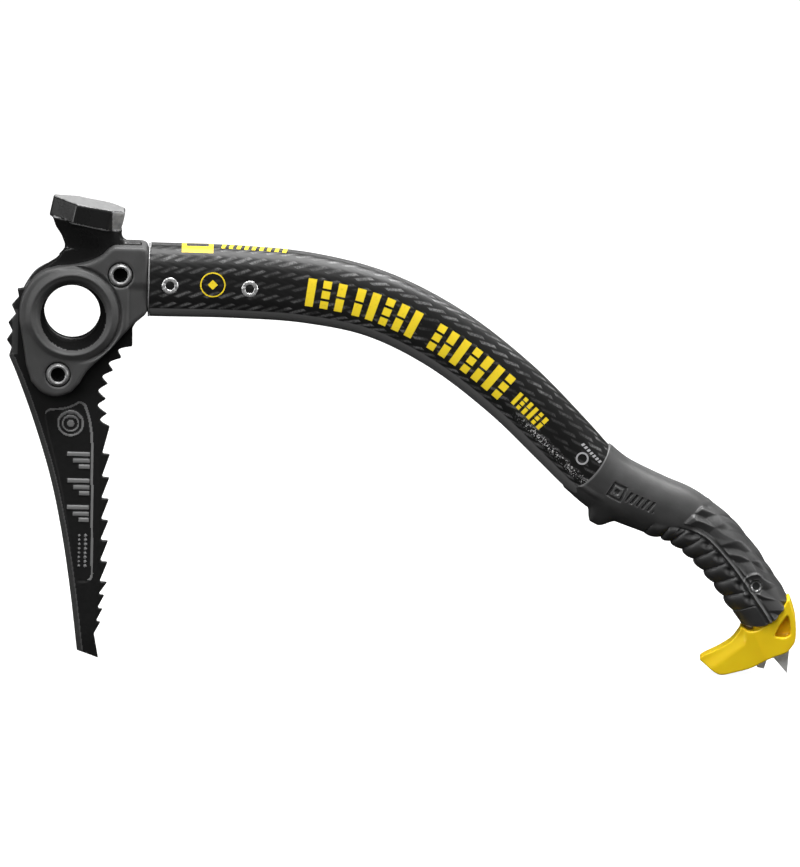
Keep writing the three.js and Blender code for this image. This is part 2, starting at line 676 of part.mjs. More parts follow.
// The hand rest: a hook of plastic that carries the little finger, with its toe pointing at the pick.
const seatOnGrip = GRIP_END.map(([x, z]) => [x + GAP, z - GAP]);
const restShape = outline(
  seatOnGrip.concat([[427.6, -160.2]]),
  [[429.4, -165], [431.4, -172], [432, -180], [431.2, -186.4], [427, -192]],
  [[420, -194.6], [413, -198], [406, -202], [396, -205.2], [388.6, GROUND], [384.6, -205.6]],
  [[379.6, -201.4], [376.6, -198.8], [378.8, -196.4]],
  [[388, -191.4], [394.6, -186.8], [399.2, -180.6]],
);
const eyeShape = outline(
  [[426.8, -168.8], [428.4, -175], [428.6, -181.6]],
  [[426, -183], [419, -182.6]],
  [421.6, -176.4],
);

{
  const rim = sections(SHAFT_STATIONS, { inset: GAP }).at(-1);
  const { forward } = along(SHAFT_STATIONS, SHAFT_STATIONS.length - 1);
  const moved = (distance) => rim.map((point) => point.clone().addScaledVector(forward, distance));
  const spigot = loft([moved(GAP), moved(12)]);
  let body = solid(plate(restShape, REST_HALF, 0, 5)).add(solid(spigot));
  for (const side of [-1, 1]) {
    const recess = plate(eyeShape, EYE_DEPTH, 0, 4).translate(0, side * REST_HALF, 0);
    body = body.subtract(solid(recess));
  }
  body = body.subtract(solid(jacket(spikeShape, SPIKE_HALF)));
  add("hand_rest", FINISH.yellowPlastic, geometryOf(body));
}

export default axe;
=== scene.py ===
# %% [markdown]
# # A curved ice axe for steep ice
#
# This lesson dresses a finished frame. The frame holds every piece of the axe at its real size and place:
# pick, hammer, head, bolts, rivets, shaft, grip, hand rest and spike. Here each visible piece gets its fine
# shape and its finish. Blender counts in metres, and the frame stands on the ground at z = 0.

# %% Load the frame
import bisect
import json
import math
import random

import bpy
from mathutils import Matrix, Vector

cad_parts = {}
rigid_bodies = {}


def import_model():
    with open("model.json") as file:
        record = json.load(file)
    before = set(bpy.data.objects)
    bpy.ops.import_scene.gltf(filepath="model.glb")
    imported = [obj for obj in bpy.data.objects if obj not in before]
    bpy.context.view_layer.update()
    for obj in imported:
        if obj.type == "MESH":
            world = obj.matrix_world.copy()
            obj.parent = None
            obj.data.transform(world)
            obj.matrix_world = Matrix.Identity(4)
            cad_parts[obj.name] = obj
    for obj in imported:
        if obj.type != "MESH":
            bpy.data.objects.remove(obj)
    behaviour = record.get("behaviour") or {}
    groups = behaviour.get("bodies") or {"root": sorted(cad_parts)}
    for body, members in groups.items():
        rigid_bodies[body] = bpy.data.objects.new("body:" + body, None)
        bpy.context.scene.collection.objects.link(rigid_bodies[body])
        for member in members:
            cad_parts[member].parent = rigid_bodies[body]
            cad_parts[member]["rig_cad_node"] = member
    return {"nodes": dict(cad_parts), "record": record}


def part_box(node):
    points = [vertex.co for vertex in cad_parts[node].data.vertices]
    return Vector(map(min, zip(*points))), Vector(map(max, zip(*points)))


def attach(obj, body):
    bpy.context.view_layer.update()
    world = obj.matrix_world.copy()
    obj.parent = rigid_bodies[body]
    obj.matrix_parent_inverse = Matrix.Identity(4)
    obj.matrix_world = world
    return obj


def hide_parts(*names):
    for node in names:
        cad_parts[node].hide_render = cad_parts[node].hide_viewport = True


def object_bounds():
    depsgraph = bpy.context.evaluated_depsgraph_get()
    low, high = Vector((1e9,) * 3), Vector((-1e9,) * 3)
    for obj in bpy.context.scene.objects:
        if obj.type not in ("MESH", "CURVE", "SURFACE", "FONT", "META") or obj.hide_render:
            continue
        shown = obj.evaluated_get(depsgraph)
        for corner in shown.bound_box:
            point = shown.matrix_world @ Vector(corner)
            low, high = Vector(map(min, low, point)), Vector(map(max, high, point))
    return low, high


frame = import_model()
cad_low, cad_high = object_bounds()
print("frame box in mm:", [round(1000 * v) for v in (*cad_low, *cad_high)])

# %% [markdown]
# A drawing of an axe is easiest to read from one fixed point, so everything below is drawn in millimetres
# from the middle of the head. The frame's record says where the round hole through the head is, and the
# drawing's zero lies a hair below and beside its centre. X runs towards the hand, Z up, and Y away across
# the axe, which is alike on both sides of Y = 0.

# %% Drawing in millimetres from the head
MM = 0.001
HOLE = Vector((0.4, 0, 1.1))

hole_low, hole_high = frame["record"]["physics"]["openings"][0]["box_m"]
hole_centre = (Vector(hole_low) + Vector(hole_high)) / 2
ORIGIN = Vector((hole_centre.x, 0, hole_centre.z)) - HOLE * MM


def at(x, y, z):
    """A point of the drawing, in metres in the frame."""
    return ORIGIN + Vector((x, y, z)) * MM


def middle(node):
    """The middle of a node's box, in the drawing's millimetres."""
    low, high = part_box(node)
    return ((Vector(low) + Vector(high)) / 2 - ORIGIN) / MM


for node in ("upper_bolt", "lower_bolt", "front_shaft_rivet", "lower_rivet"):
    print(node, "at", [round(v, 1) for v in middle(node)])

# %% [markdown]
# ## Camera and studio
#
# A long lens from far away keeps the axe almost free of perspective, as catalogue pictures do. The camera
# stands a little above the axe and looks square at its side. It leans by a small angle, so that the axe
# hangs slightly towards the hand in the picture.

# %% Camera
ELEVATION = math.radians(11)
LEAN = math.radians(1.4)
CAMERA_DISTANCE = 12
FIELD_HEIGHT = 0.5115
SENSOR = 36
FARTHEST_SEEN = 50
AIM_SHIFT = Vector((-0.0018, 0, 0.0006))

aim = (cad_low + cad_high) / 2 + AIM_SHIFT
back = Vector((0, -math.cos(ELEVATION), math.sin(ELEVATION)))

bpy.ops.object.camera_add(location=aim + back * CAMERA_DISTANCE)
camera = bpy.context.object
camera.name = "catalogue_camera"
camera.data.sensor_width = SENSOR
camera.data.lens = SENSOR * CAMERA_DISTANCE / FIELD_HEIGHT
camera.data.clip_end = FARTHEST_SEEN
upright = (-back).to_track_quat("-Z", "Y")
camera.rotation_mode = "QUATERNION"
camera.rotation_quaternion = upright @ Matrix.Rotation(LEAN, 4, "Z").to_quaternion()
bpy.context.scene.camera = camera
print("lens", round(camera.data.lens), "mm")

# %% [markdown]
# The floor is pale and so wide that it fills the picture. Black metal only shows its shape through what it
# mirrors, so the lights are large soft panels: one overhead, which draws the bright top faces, and weaker
# ones at the left, right, front and back. The floor doesn't shine back on the axe, and the world is dark
# below and pale above, which keeps the black deep and the edges light.

# %% Floor, lights and world
FLOOR_SIDE = 12
FLOOR_GREY, FLOOR_GLOW = 0.3, 0.95

bpy.ops.mesh.primitive_plane_add(size=FLOOR_SIDE, location=(0, 0, 0))
floor = bpy.context.object
floor.name = "floor"


def set_shader(material, settings):
    """Sets some of the values on a material's own shader, by their names."""
    for name, value in settings.items():
        material.node_tree.nodes["Principled BSDF"].inputs[name].default_value = value


floor_paint = bpy.data.materials.new("floor_paint")
floor_paint.use_nodes = True
set_shader(floor_paint, {
    "Base Color": (FLOOR_GREY, FLOOR_GREY, FLOOR_GREY, 1),
    "Roughness": 0.9,
    "Specular IOR Level": 0.1,
    "Emission Color": (1, 1, 1, 1),
    "Emission Strength": FLOOR_GLOW,
})
floor.data.materials.append(floor_paint)
floor.visible_glossy = False
floor.visible_diffuse = False


def soft_panel(name, place, target, size, watts):
    """A large square light that looks at a target."""
    bpy.ops.object.light_add(type="AREA", location=place)
    panel = bpy.context.object
    panel.name = name
    panel.data.shape = "RECTANGLE"
    panel.data.size, panel.data.size_y = size
    panel.data.energy = watts
    aim_along = Vector(target) - Vector(place)
    panel.rotation_euler = aim_along.to_track_quat("-Z", "Y").to_euler()


soft_panel("top_panel", (0.15, -0.1, 1.3), (0, 0, 0.15), (1.5, 0.7), 46)
soft_panel("left_panel", (-1.5, -0.7, 0.35), (-0.1, 0, 0.12), (0.6, 0.8), 9)
soft_panel("right_panel", (1.6, -0.45, 0.3), (0, 0, 0.15), (0.8, 0.6), 10)
soft_panel("front_panel", (-0.5, -2.4, 1.5), (0, 0, 0.1), (1.6, 0.7), 20)
soft_panel("back_panel", (0.5, 2.4, 1.3), (0, 0, 0.1), (1.6, 0.7), 9)

WORLD_BELOW, WORLD_ABOVE = 0.34, 0.62
FADE_FROM, FADE_TO = -0.25, 0.7

studio = bpy.data.worlds.new("studio")
bpy.context.scene.world = studio
studio.use_nodes = True
sky_nodes = studio.node_tree.nodes
direction = sky_nodes.new("ShaderNodeTexCoord")
split_direction = sky_nodes.new("ShaderNodeSeparateXYZ")
fall = sky_nodes.new("ShaderNodeMapRange")
fall.inputs["From Min"].default_value = FADE_FROM
fall.inputs["From Max"].default_value = FADE_TO
fall.inputs["To Min"].default_value = WORLD_BELOW
fall.inputs["To Max"].default_value = WORLD_ABOVE
studio.node_tree.links.new(direction.outputs["Generated"], split_direction.inputs[0])
studio.node_tree.links.new(split_direction.outputs["Z"], fall.inputs["Value"])
studio.node_tree.links.new(fall.outputs[0], sky_nodes["Background"].inputs["Strength"])
bpy.context.scene.view_settings.view_transform = "Standard"

# %% [markdown]
# ## Finishes
#
# Every finish is a small web of nodes. The helpers below keep the webs short: `Web` starts a material,
# adds a node, joins it up and hands back its output, so that a web reads like a formula.

# %% Helpers for finishes
GRAIN_DEPTH = 0.0001
NOISE_LOW, NOISE_HIGH = 0.3, 0.7


class Web:
    """A material's nodes, written as calls that return sockets."""

    def __init__(self, name, roughness, metallic=0.0, specular=0.5):
        self.material = bpy.data.materials.new(name)
        self.material.use_nodes = True
        self.tree = self.material.node_tree
        self.shader = self.tree.nodes["Principled BSDF"]
        set_shader(self.material, {
            "Roughness": roughness, "Metallic": metallic, "Specular IOR Level": specular})

    def node(self, kind, **settings):
        made = self.tree.nodes.new("ShaderNode" + kind)
        for key, value in settings.items():
            setattr(made, key, value)
        return made

    def plug(self, socket, value):
        if isinstance(value, bpy.types.NodeSocket):
            self.tree.links.new(value, socket)
        else:
            socket.default_value = value

    def math(self, operation, *values):
        made = self.node("Math", operation=operation)
        for socket, value in zip(made.inputs, values):
            self.plug(socket, value)
        return made.outputs[0]

    def product(self, total, *shares):
        """A value multiplied by one share after another."""
        for share in shares:
            total = self.math("MULTIPLY", total, share)
        return total

    def apart(self, first, second):
        """How far two values are apart."""
        return self.math("ABSOLUTE", self.math("SUBTRACT", first, second))

    def ramp(self, value, low, high, out_low=0.0, out_high=1.0):
        """Maps a value between two limits, smoothly and clamped."""
        made = self.node("MapRange", interpolation_type="SMOOTHSTEP")
        for socket, setting in zip(made.inputs, (value, low, high, out_low, out_high)):
            self.plug(socket, setting)
        return made.outputs[0]

    def blend(self, share, first, second):
        """Two colours mixed by a share from 0 to 1."""
        made = self.node("Mix", data_type="RGBA")
        self.plug(made.inputs[0], share)
        self.plug(made.inputs[6], first)
        self.plug(made.inputs[7], second)
        return made.outputs[2]

    def noise(self, scale, detail=3.0):
        """A noise that is fixed to the object, in metres."""
        made = self.node("TexNoise")
        self.plug(made.inputs["Vector"], self.node("TexCoord").outputs["Object"])
        self.plug(made.inputs["Scale"], scale)
        self.plug(made.inputs["Detail"], detail)
        return made.outputs["Fac"]

    def edges(self, low, high):
        """1 on sharp convex edges and 0 on flat ground."""
        return self.ramp(self.node("NewGeometry").outputs["Pointiness"], low, high)

    def colour(self, value):
        self.plug(self.shader.inputs["Base Color"], value)

    def roughness(self, value):
        self.plug(self.shader.inputs["Roughness"], value)

    def bump(self, height, strength, distance=GRAIN_DEPTH):
        made = self.node("Bump")
        self.plug(made.inputs["Height"], height)
        self.plug(made.inputs["Strength"], strength)
        self.plug(made.inputs["Distance"], distance)
        self.plug(self.shader.inputs["Normal"], made.outputs[0])

    def skin(self, noise, smoothest, roughest, strength, depth=GRAIN_DEPTH):
        """Lets one noise swing the roughness between two values and raise a fine grain."""
        self.roughness(self.ramp(noise, NOISE_LOW, NOISE_HIGH, smoothest, roughest))
        self.bump(noise, strength, depth)


def grey(value):
    """A neutral colour of one brightness."""
    return (value, value, value, 1)

# %% [markdown]
# Forged steel comes out of its die with a faintly uneven skin. It is blackened, and it wears bright only
# where it rubs: along its edges. The geometry's pointiness finds those edges by itself, because the forged
# pieces below have an even mesh. The hammer's black is glossier, and its striking face is ground bare.
# Some paler and darker steels below are painted light and shade: a painted highlight line along the pick's
# bevel, painted highlights on the pick's panel step and the hammer's lower shoulders, a painted reflection
# on the hammer's facets, and painted shade inside the head's hole.

# %% Forged black steel
SKIN_DEPTH = 0.0002
SMOOTHER, ROUGHER = 0.06, 0.08


def forged_steel(name, roughness, base, worn_base, grain=0.2, skin_scale=900):
    """Black steel of a base grey, worn to a paler grey along its edges."""
    web = Web(name, roughness, metallic=0.15, specular=0.4)
    worn = web.product(web.edges(0.53, 0.62), web.ramp(web.noise(150), 0.3, 0.65, 0.3, 1.0))
    web.colour(web.blend(worn, grey(base), grey(worn_base)))
    web.skin(web.noise(skin_scale, 4), roughness - SMOOTHER, roughness + ROUGHER, grain, SKIN_DEPTH)
    return web.material


STEEL = forged_steel("forged_black_steel", 0.42, base=0.009, worn_base=0.16)
GLOSS_STEEL = forged_steel("glossy_black_steel", 0.26, base=0.013, worn_base=0.12, grain=0.0, skin_scale=40)
BEVEL_STEEL = forged_steel("ground_bevel_steel", 0.4, base=0.045, worn_base=0.3)
# Rubbed bright steel: wear on the tops of the pick's raised signs, and painted highlights on the pick's panel
# step and the hammer's lower shoulders.
RUBBED_AND_HIGHLIT_STEEL = forged_steel("rubbed_and_painted_highlight_steel", 0.38, base=0.2, worn_base=0.36)
# Painted highlight: a paler grey for the thin line of light along the inner edge of the pick's bevel.
BEVEL_HIGHLIGHT_STEEL = forged_steel("painted_bevel_highlight_steel", 0.4, base=0.085, worn_base=0.16)
# Painted shade: near-black steel for the shade inside the head's hole.
BORE_SHADE_BLACK = forged_steel("painted_bore_shade_steel", 0.7, base=0.003, worn_base=0.006, grain=0.0)
set_shader(BORE_SHADE_BLACK, {"Specular IOR Level": 0.08})

# %% Blasted grey alloy, plated steel and stainless steels
def blasted_alloy():
    """Grey alloy with a blasted grain; its edges are paler, as rub wear and as painted edge highlights."""
    web = Web("blasted_grey_alloy", 0.55, metallic=0.25, specular=0.4)
    base = web.blend(web.ramp(web.noise(60, 2), 0.35, 0.65), grey(0.058), grey(0.068))
    web.colour(web.blend(web.edges(0.515, 0.6), base, grey(0.17)))
    web.skin(web.noise(3200, 2), 0.5, 0.62, 0.3)
    return web.material


def plated_steel():
    """Plated steel with the faint marks of the lathe."""
    web = Web("plated_steel", 0.35, metallic=0.45)
    web.colour(web.blend(web.edges(0.5, 0.6), grey(0.27), grey(0.55)))
    web.skin(web.noise(700, 4), 0.28, 0.42, 0.15)
    return web.material


def stainless_steel():
    """Bright steel with fine scratches."""
    web = Web("stainless_steel", 0.2, metallic=0.6)
    scratches = web.noise(500, 6)
    web.colour(web.blend(web.ramp(scratches, 0.4, 0.6), grey(0.55), grey(0.68)))
    web.skin(scratches, 0.16, 0.3, 0.1)
    return web.material


def ground_steel(name, low, high):
    """Bare steel, ground with a fine stone, between two greys."""
    web = Web(name, 0.45, metallic=0.05)
    grinding = web.noise(420, 5)
    web.colour(web.blend(web.ramp(grinding, 0.35, 0.65), grey(low), grey(high)))
    web.skin(grinding, 0.38, 0.52, 0.12)
    return web.material


ALLOY = blasted_alloy()
PLATED = plated_steel()
STAINLESS = stainless_steel()
SPIKE_STEEL = ground_steel("ground_spike_steel", 0.8, 0.92)
FACE_STEEL = ground_steel("worn_striking_face_steel", 0.12, 0.18)
# Painted reflection: a lighter grey for the light from the right on the hammer's cut facets.
FACET_REFLECTION_STEEL = ground_steel("painted_facet_reflection_steel", 0.13, 0.19)

# %% [markdown]
# Braided carbon: flat tows of fibre cross each other at a slant, each passing over two and under two. The
# web below works in millimetres along and round the shaft, from the piece's own UV map. It turns those
# into two slanted counts, one for each family of tows, and asks which family is on top at a point. The
# lacquer over it all is a clear coat. A plain smooth strip runs along the belly of the shaft. Light is also
# painted into the weave: each upper tow is painted lighter towards its crest as painted shading, the lit
# tows are lighter in two rows near the shaft's corners as painted reflections, and painted glints run in a
# row near the grip.

# %% Braided carbon
BRAID_ANGLE = math.radians(21)
TOW_WIDTH = 3.1
TOWS_OVER = 2
WEAVE_DEPTH = 0.0003
DARK_TOW, LIT_TOW, BELLY_GREY, GLINT_GREY = 0.008, 0.17, 0.14, 0.8
BELLY_STRIP, STRIP_BLUR = 6.4, 0.4
# Painted reflections: the lit tows are lighter in two rows near the shaft's corners. Painted glints: bright
# specks in a row near the grip.
CORNER_REFLECTION_ROWS, ROW_REACH, ROW_FLOOR = (10.5, 35.5), 12, 0.25
GLINT_ROW, GLINT_CORE, GLINT_REACH = 11.5, 0.6, 3.2
GLINTS_FROM, GLINTS_FADE = 236, 25


def woven_tows(web, along, round_it):
    """Which family of tows is on top, 1 or 0, and how high the upper tow stands, from 0 to 0.5."""
    sine, cosine = math.sin(BRAID_ANGLE) / TOW_WIDTH, math.cos(BRAID_ANGLE) / TOW_WIDTH
    rise, reach = web.product(round_it, cosine), web.product(along, sine)
    rising, falling = web.math("SUBTRACT", rise, reach), web.math("ADD", rise, reach)
    order = web.math("ADD", web.math("FLOOR", rising), web.math("FLOOR", falling))
    in_turn = web.math("FLOORED_MODULO", order, 2.0 * TOWS_OVER)
    rising_on_top = web.math("LESS_THAN", in_turn, 1.0 * TOWS_OVER)
    off_crest = web.node("Mix", data_type="FLOAT")
    web.plug(off_crest.inputs[0], rising_on_top)
    web.plug(off_crest.inputs[2], web.apart(web.math("FRACT", falling), 0.5))
    web.plug(off_crest.inputs[3], web.apart(web.math("FRACT", rising), 0.5))
    return rising_on_top, web.math("SUBTRACT", 0.5, off_crest.outputs[0])


def braided_carbon():
    web = Web("braided_carbon", 0.42, specular=0.26)
    set_shader(web.material, {"Coat Weight": 0.12, "Coat Roughness": 0.13})
    split = web.node("SeparateXYZ")
    web.plug(split.inputs[0], web.node("UVMap", uv_map="round_the_shaft").outputs[0])
    along, round_it = split.outputs[0], split.outputs[1]
    above_belly = web.node("Attribute", attribute_name="belly").outputs["Fac"]
    rising_on_top, height = woven_tows(web, along, round_it)
    # Painted reflection: lit tows are lighter near the two corner rows and dimmer on the flat side between
    # them.
    rows = [web.ramp(web.apart(above_belly, row), 0.0, ROW_REACH, 1.0, ROW_FLOOR) for row in CORNER_REFLECTION_ROWS]
    fibres = web.ramp(web.noise(1100, 3), 0.3, 0.68, 0.3, 1.0)
    patches = web.ramp(web.noise(85, 2), 0.38, 0.6, 0.3, 1.0)
    # Painted shading: each upper tow is lighter towards its crest.
    upper = web.ramp(height, 0.08, 0.42)
    lit = web.product(rising_on_top, upper, web.math("MAXIMUM", *rows), fibres, patches)
    glint = web.product(
        web.ramp(web.noise(1300, 2), 0.58, 0.63),
        web.ramp(web.apart(above_belly, GLINT_ROW), GLINT_CORE, GLINT_REACH, 1.0, 0.0),
        web.ramp(along, GLINTS_FROM, GLINTS_FROM + GLINTS_FADE))
    woven = web.blend(glint, web.blend(lit, grey(DARK_TOW), grey(LIT_TOW)), grey(GLINT_GREY))
    plain = web.ramp(above_belly, BELLY_STRIP - STRIP_BLUR, BELLY_STRIP + STRIP_BLUR, 1.0, 0.0)
    web.colour(web.blend(plain, woven, grey(BELLY_GREY)))
    web.roughness(web.ramp(plain, 0.0, 1.0, 0.42, 0.55))
    web.bump(web.product(height, web.math("SUBTRACT", 1.0, plain)), 0.35, WEAVE_DEPTH)
    return web.material


CARBON = braided_carbon()

# %% [markdown]
# Grip rubber is matt, with a fine leathery grain. The hand rest is a coloured plastic with a soft sheen
# that lets a little light in under its skin. The marks on the shaft are plain yellow and silver inks.

# %% Rubber, plastics and inks
LEATHER_DEPTH = 0.00015
FADED = 0.82


def grip_rubber():
    """Matt rubber, a little dusty in places and paler along its edges."""
    web = Web("grip_rubber", 0.45, specular=0.6)
    base = web.blend(web.ramp(web.noise(90, 3), 0.35, 0.7), grey(0.034), grey(0.046))
    web.colour(web.blend(web.edges(0.505, 0.57), base, grey(0.12)))
    web.skin(web.noise(2600, 3), 0.4, 0.52, 0.35, LEATHER_DEPTH)
    return web.material


def moulded_plastic(name, colour, deep, roughness):
    """Plastic whose colour drifts slowly between two."""
    web = Web(name, roughness, specular=0.4)
    web.colour(web.blend(web.ramp(web.noise(50, 2), 0.3, 0.75), colour, deep))
    web.skin(web.noise(1800, 2), roughness - SMOOTHER, roughness + ROUGHER, 0.2)
    return web.material


def ink(name, colour):
    """Ink that has faded a little in spots."""
    web = Web(name, 0.45, specular=0.35)
    faded = [channel * FADED for channel in colour[:3]] + [1]
    web.colour(web.blend(web.ramp(web.noise(700, 4), 0.25, 0.45), faded, colour))
    web.bump(web.noise(1500, 2), 0.1)
    return web.material


RUBBER = grip_rubber()
YELLOW = moulded_plastic("yellow_plastic", (0.93, 0.66, 0.013, 1), (0.9, 0.6, 0.011, 1), 0.34)
set_shader(YELLOW, {"Subsurface Weight": 0.12, "Subsurface Radius": (0.003, 0.0015, 0.0003)})
SOCKET_BLACK = moulded_plastic("socket_shadow_black", grey(0.001), grey(0.002), 0.7)
set_shader(SOCKET_BLACK, {"Specular IOR Level": 0.05})
NYLON = moulded_plastic("black_nylon", grey(0.02), grey(0.03), 0.55)
YELLOW_INK = ink("yellow_ink", (0.88, 0.66, 0.025, 1))
SILVER_INK = ink("silver_ink", (0.42, 0.42, 0.43, 1))


def give(obj, material):
    """Puts one finish in every slot of an object."""
    if not obj.material_slots:
        obj.data.materials.append(material)
    for slot in obj.material_slots:
        slot.material = material


node_finish = {
    "pick": STEEL, "hammer": STEEL, "head_fork": ALLOY, "shaft_collar": PLATED,
    "upper_bolt": PLATED, "upper_sleeve_nut": PLATED, "lower_bolt": PLATED, "lower_sleeve_nut": PLATED,
    "shaft": CARBON, "front_shaft_rivet": STAINLESS, "rear_shaft_rivet": STAINLESS, "grip": RUBBER,
    "end_plug": NYLON, "spike": STAINLESS, "lower_rivet": STAINLESS, "hand_rest": YELLOW,
}
for node, material in node_finish.items():
    give(frame["nodes"][node], material)
print(len(node_finish), "nodes have a finish")

# %% [markdown]
# ## A bent line with a section
#
# The shaft and the grip are both a rounded section carried along one bent line. By hand this would be a
# curve with a bevel object, but that gives one section all the way. Here a few stations say where the line
# goes and how deep and wide the section is there, and a smooth curve joins them. A grid rolled round that
# line then keeps even squares, which a woven pattern and a moulded relief both need.

# %% The bent line
CURVE_STEPS = 24

SHAFT_STATIONS = [
    (46, 21.25, 43.3, 27), (100, 20.85, 42.5, 27), (140, 18.15, 41.3, 27), (180, 9.5, 39.3, 26.5),
    (220, -9.7, 38.5, 26), (260, -39.4, 38, 26), (290, -68.2, 37, 26), (305, -83.4, 35.8, 25.6),
    (320, -97.2, 33.4, 24),
]


def clamp(value, low=0, high=1):
    return min(max(value, low), high)


def between(before, start, end, after, share):
    """A point of the smooth curve through four stations, at a share of the way from start to end."""
    gap_a, gap_b, gap_c = (math.sqrt((q - p).xy.length) for p, q in
                           ((before, start), (start, end), (end, after)))
    leave = (start - before) / gap_a - (end - before) / (gap_a + gap_b) + (end - start) / gap_b
    arrive = (end - start) / gap_b - (after - start) / (gap_b + gap_c) + (after - end) / gap_c
    leave, arrive, s2, s3 = leave * gap_b, arrive * gap_b, share ** 2, share ** 3
    return (start * (2 * s3 - 3 * s2 + 1) + leave * (s3 - 2 * s2 + share)
            + end * (3 * s2 - 2 * s3) + arrive * (s3 - s2))


class BentLine:
    """Stations of x, z, depth and width, joined by a smooth curve and measured along it."""

    def __init__(self, stations):
        row = [Vector(station) for station in stations]
        row = [2 * row[0] - row[1], *row, 2 * row[-1] - row[-2]]
        self.samples = [between(*row[i:i + 4], step / CURVE_STEPS)
                        for i in range(len(row) - 3) for step in range(CURVE_STEPS)] + [row[-2]]
        self.reach = [0.0]
        for here, there in zip(self.samples, self.samples[1:]):
            self.reach.append(self.reach[-1] + (there - here).xy.length)
        self.length = self.reach[-1]
        wide = [self.samples[0], *self.samples, self.samples[-1]]
        self.forwards = [(after - before).xy.normalized() for before, after in zip(wide, wide[2:])]

    def at(self, distance):
        """Centre, forward direction (both in x and z), depth and width at a distance along the line."""
        i = clamp(bisect.bisect_right(self.reach, distance) - 1, 0, len(self.reach) - 2)
        share = (distance - self.reach[i]) / (self.reach[i + 1] - self.reach[i])
        here = self.samples[i].lerp(self.samples[i + 1], share)
        forward = self.forwards[i].lerp(self.forwards[i + 1], share).normalized()
        return here.xy, forward, here.z, here.w

    def along_at(self, x):
        """How far along the line its centre reaches a given x."""
        i = next(i for i, sample in enumerate(self.samples) if sample.x >= x)
        return self.reach[i]

    def nearest(self, x, z):
        """The distance along the line, and the height above it, of a point beside it."""
        spot = Vector((x, z))
        i = min(range(len(self.samples)), key=lambda n: (self.samples[n].xy - spot).length)
        forward = self.forwards[i]
        offset = spot - self.samples[i].xy
        return self.reach[i] + offset.dot(forward), offset.dot(Vector((-forward.y, forward.x)))


shaft_line = BentLine(SHAFT_STATIONS)
print("shaft line", round(shaft_line.length), "mm long")

# %% Sections and rolled skins
NEAR, FAR = -1, 1
FINE_TURNS = 1440
SEAM_GAP = 0.02


def bow(value, squareness):
    """Bends a sine or cosine so that a round section becomes a rounded square."""
    return math.copysign(abs(value) ** (2 / squareness), value)


def even_turns(depth, width, squareness, count):
    """Angles from the belly round the near side, the back and the far side, in steps of equal length."""
    fine = [2 * math.pi * i / FINE_TURNS for i in range(FINE_TURNS + 1)]
    spots = [Vector((bow(math.sin(a), squareness) * width / 2, bow(math.cos(a), squareness) * depth / 2))
             for a in fine]
    girth = [0.0]
    for here, there in zip(spots, spots[1:]):
        girth.append(girth[-1] + (there - here).length)
    angles = []
    for i in range(count + 1):
        n = min(bisect.bisect_left(girth, girth[-1] * i / count), FINE_TURNS)
        angles.append(fine[n])
    return angles, girth[-1]


def off_line(centre, forward, height, y):
    """A spot of the drawing at a height above a line's centre, and y across it."""
    return Vector((centre.x - forward.y * height, y, centre.y + forward.x * height))


def select_none():
    bpy.ops.object.select_all(action="DESELECT")


def merge_points(gap):
    """Opens the active piece for editing and merges points that are closer than a gap in millimetres."""
    bpy.ops.object.mode_set(mode="EDIT")
    bpy.ops.mesh.select_all(action="SELECT")
    bpy.ops.mesh.remove_doubles(threshold=gap * MM)


def face_outwards():
    """Turns all faces outwards and ends the editing."""
    bpy.ops.mesh.select_all(action="SELECT")
    bpy.ops.mesh.normals_make_consistent(inside=False)
    bpy.ops.object.mode_set(mode="OBJECT")


def shade_smooth(degrees):
    """Smooths the active piece over edges that are blunter than an angle."""
    bpy.ops.object.shade_smooth_by_angle(angle=math.radians(degrees))


def rolled(name, lengthways, around, place):
    """A grid rolled into a closed skin; place(along, turn) gives a point for two shares from 0 to 1."""
    select_none()
    bpy.ops.mesh.primitive_grid_add(x_subdivisions=lengthways, y_subdivisions=around, size=1)
    piece = bpy.context.object
    piece.name = name
    for vertex in piece.data.vertices:
        vertex.co = place(vertex.co.x + 0.5, vertex.co.y + 0.5)
    merge_points(SEAM_GAP)
    bpy.ops.mesh.select_all(action="DESELECT")
    bpy.ops.mesh.select_non_manifold()
    bpy.ops.mesh.fill_holes(sides=0)
    face_outwards()
    shade_smooth(35)
    return piece


def dress(piece, material, slot, *nodes):
    """Gives a new piece its finish, says which body it rides on, and hides the nodes it stands for."""
    give(piece, material)
    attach(piece, "root")
    if nodes:
        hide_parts(*nodes)
    triangles = sum(len(face.vertices) - 2 for face in piece.data.polygons)
    print(piece.name, triangles, "triangles")

# %% [markdown]
# ## Shaft
#
# The shaft is a tube of braided carbon, moulded in one bend, with flat sides and rounded corners. A grid is
# rolled round the line in equal steps, so its UV map can be stretched to real millimetres and the braid
# keeps its size all the way. Each point also remembers its height above the belly, where a plain strip
# runs. The lower end goes on for a short way inside the grip.

# %% Shaft
SHAFT_SQUARENESS = 2.9
SHAFT_AROUND = 120
SHAFT_LENGTHWAYS = 320

shaft_turns, shaft_girth = even_turns(40, 26.5, SHAFT_SQUARENESS, SHAFT_AROUND)


def turn_angle(turns, share):
    return turns[round(share * (len(turns) - 1))]


def on_shaft(along, turn):
    centre, forward, depth, width = shaft_line.at(along * shaft_line.length)
    angle = turn_angle(shaft_turns, turn)
    height = -bow(math.cos(angle), SHAFT_SQUARENESS) * depth / 2
    y = -bow(math.sin(angle), SHAFT_SQUARENESS) * width / 2
    return at(*off_line(centre, forward, height, y))


shaft = rolled("braided_shaft", SHAFT_LENGTHWAYS, SHAFT_AROUND, on_shaft)
weave_map = shaft.data.uv_layers[0]
weave_map.name = "round_the_shaft"
for corner in weave_map.uv:
    corner.vector = Vector((corner.vector.x * shaft_line.length, corner.vector.y * shaft_girth))

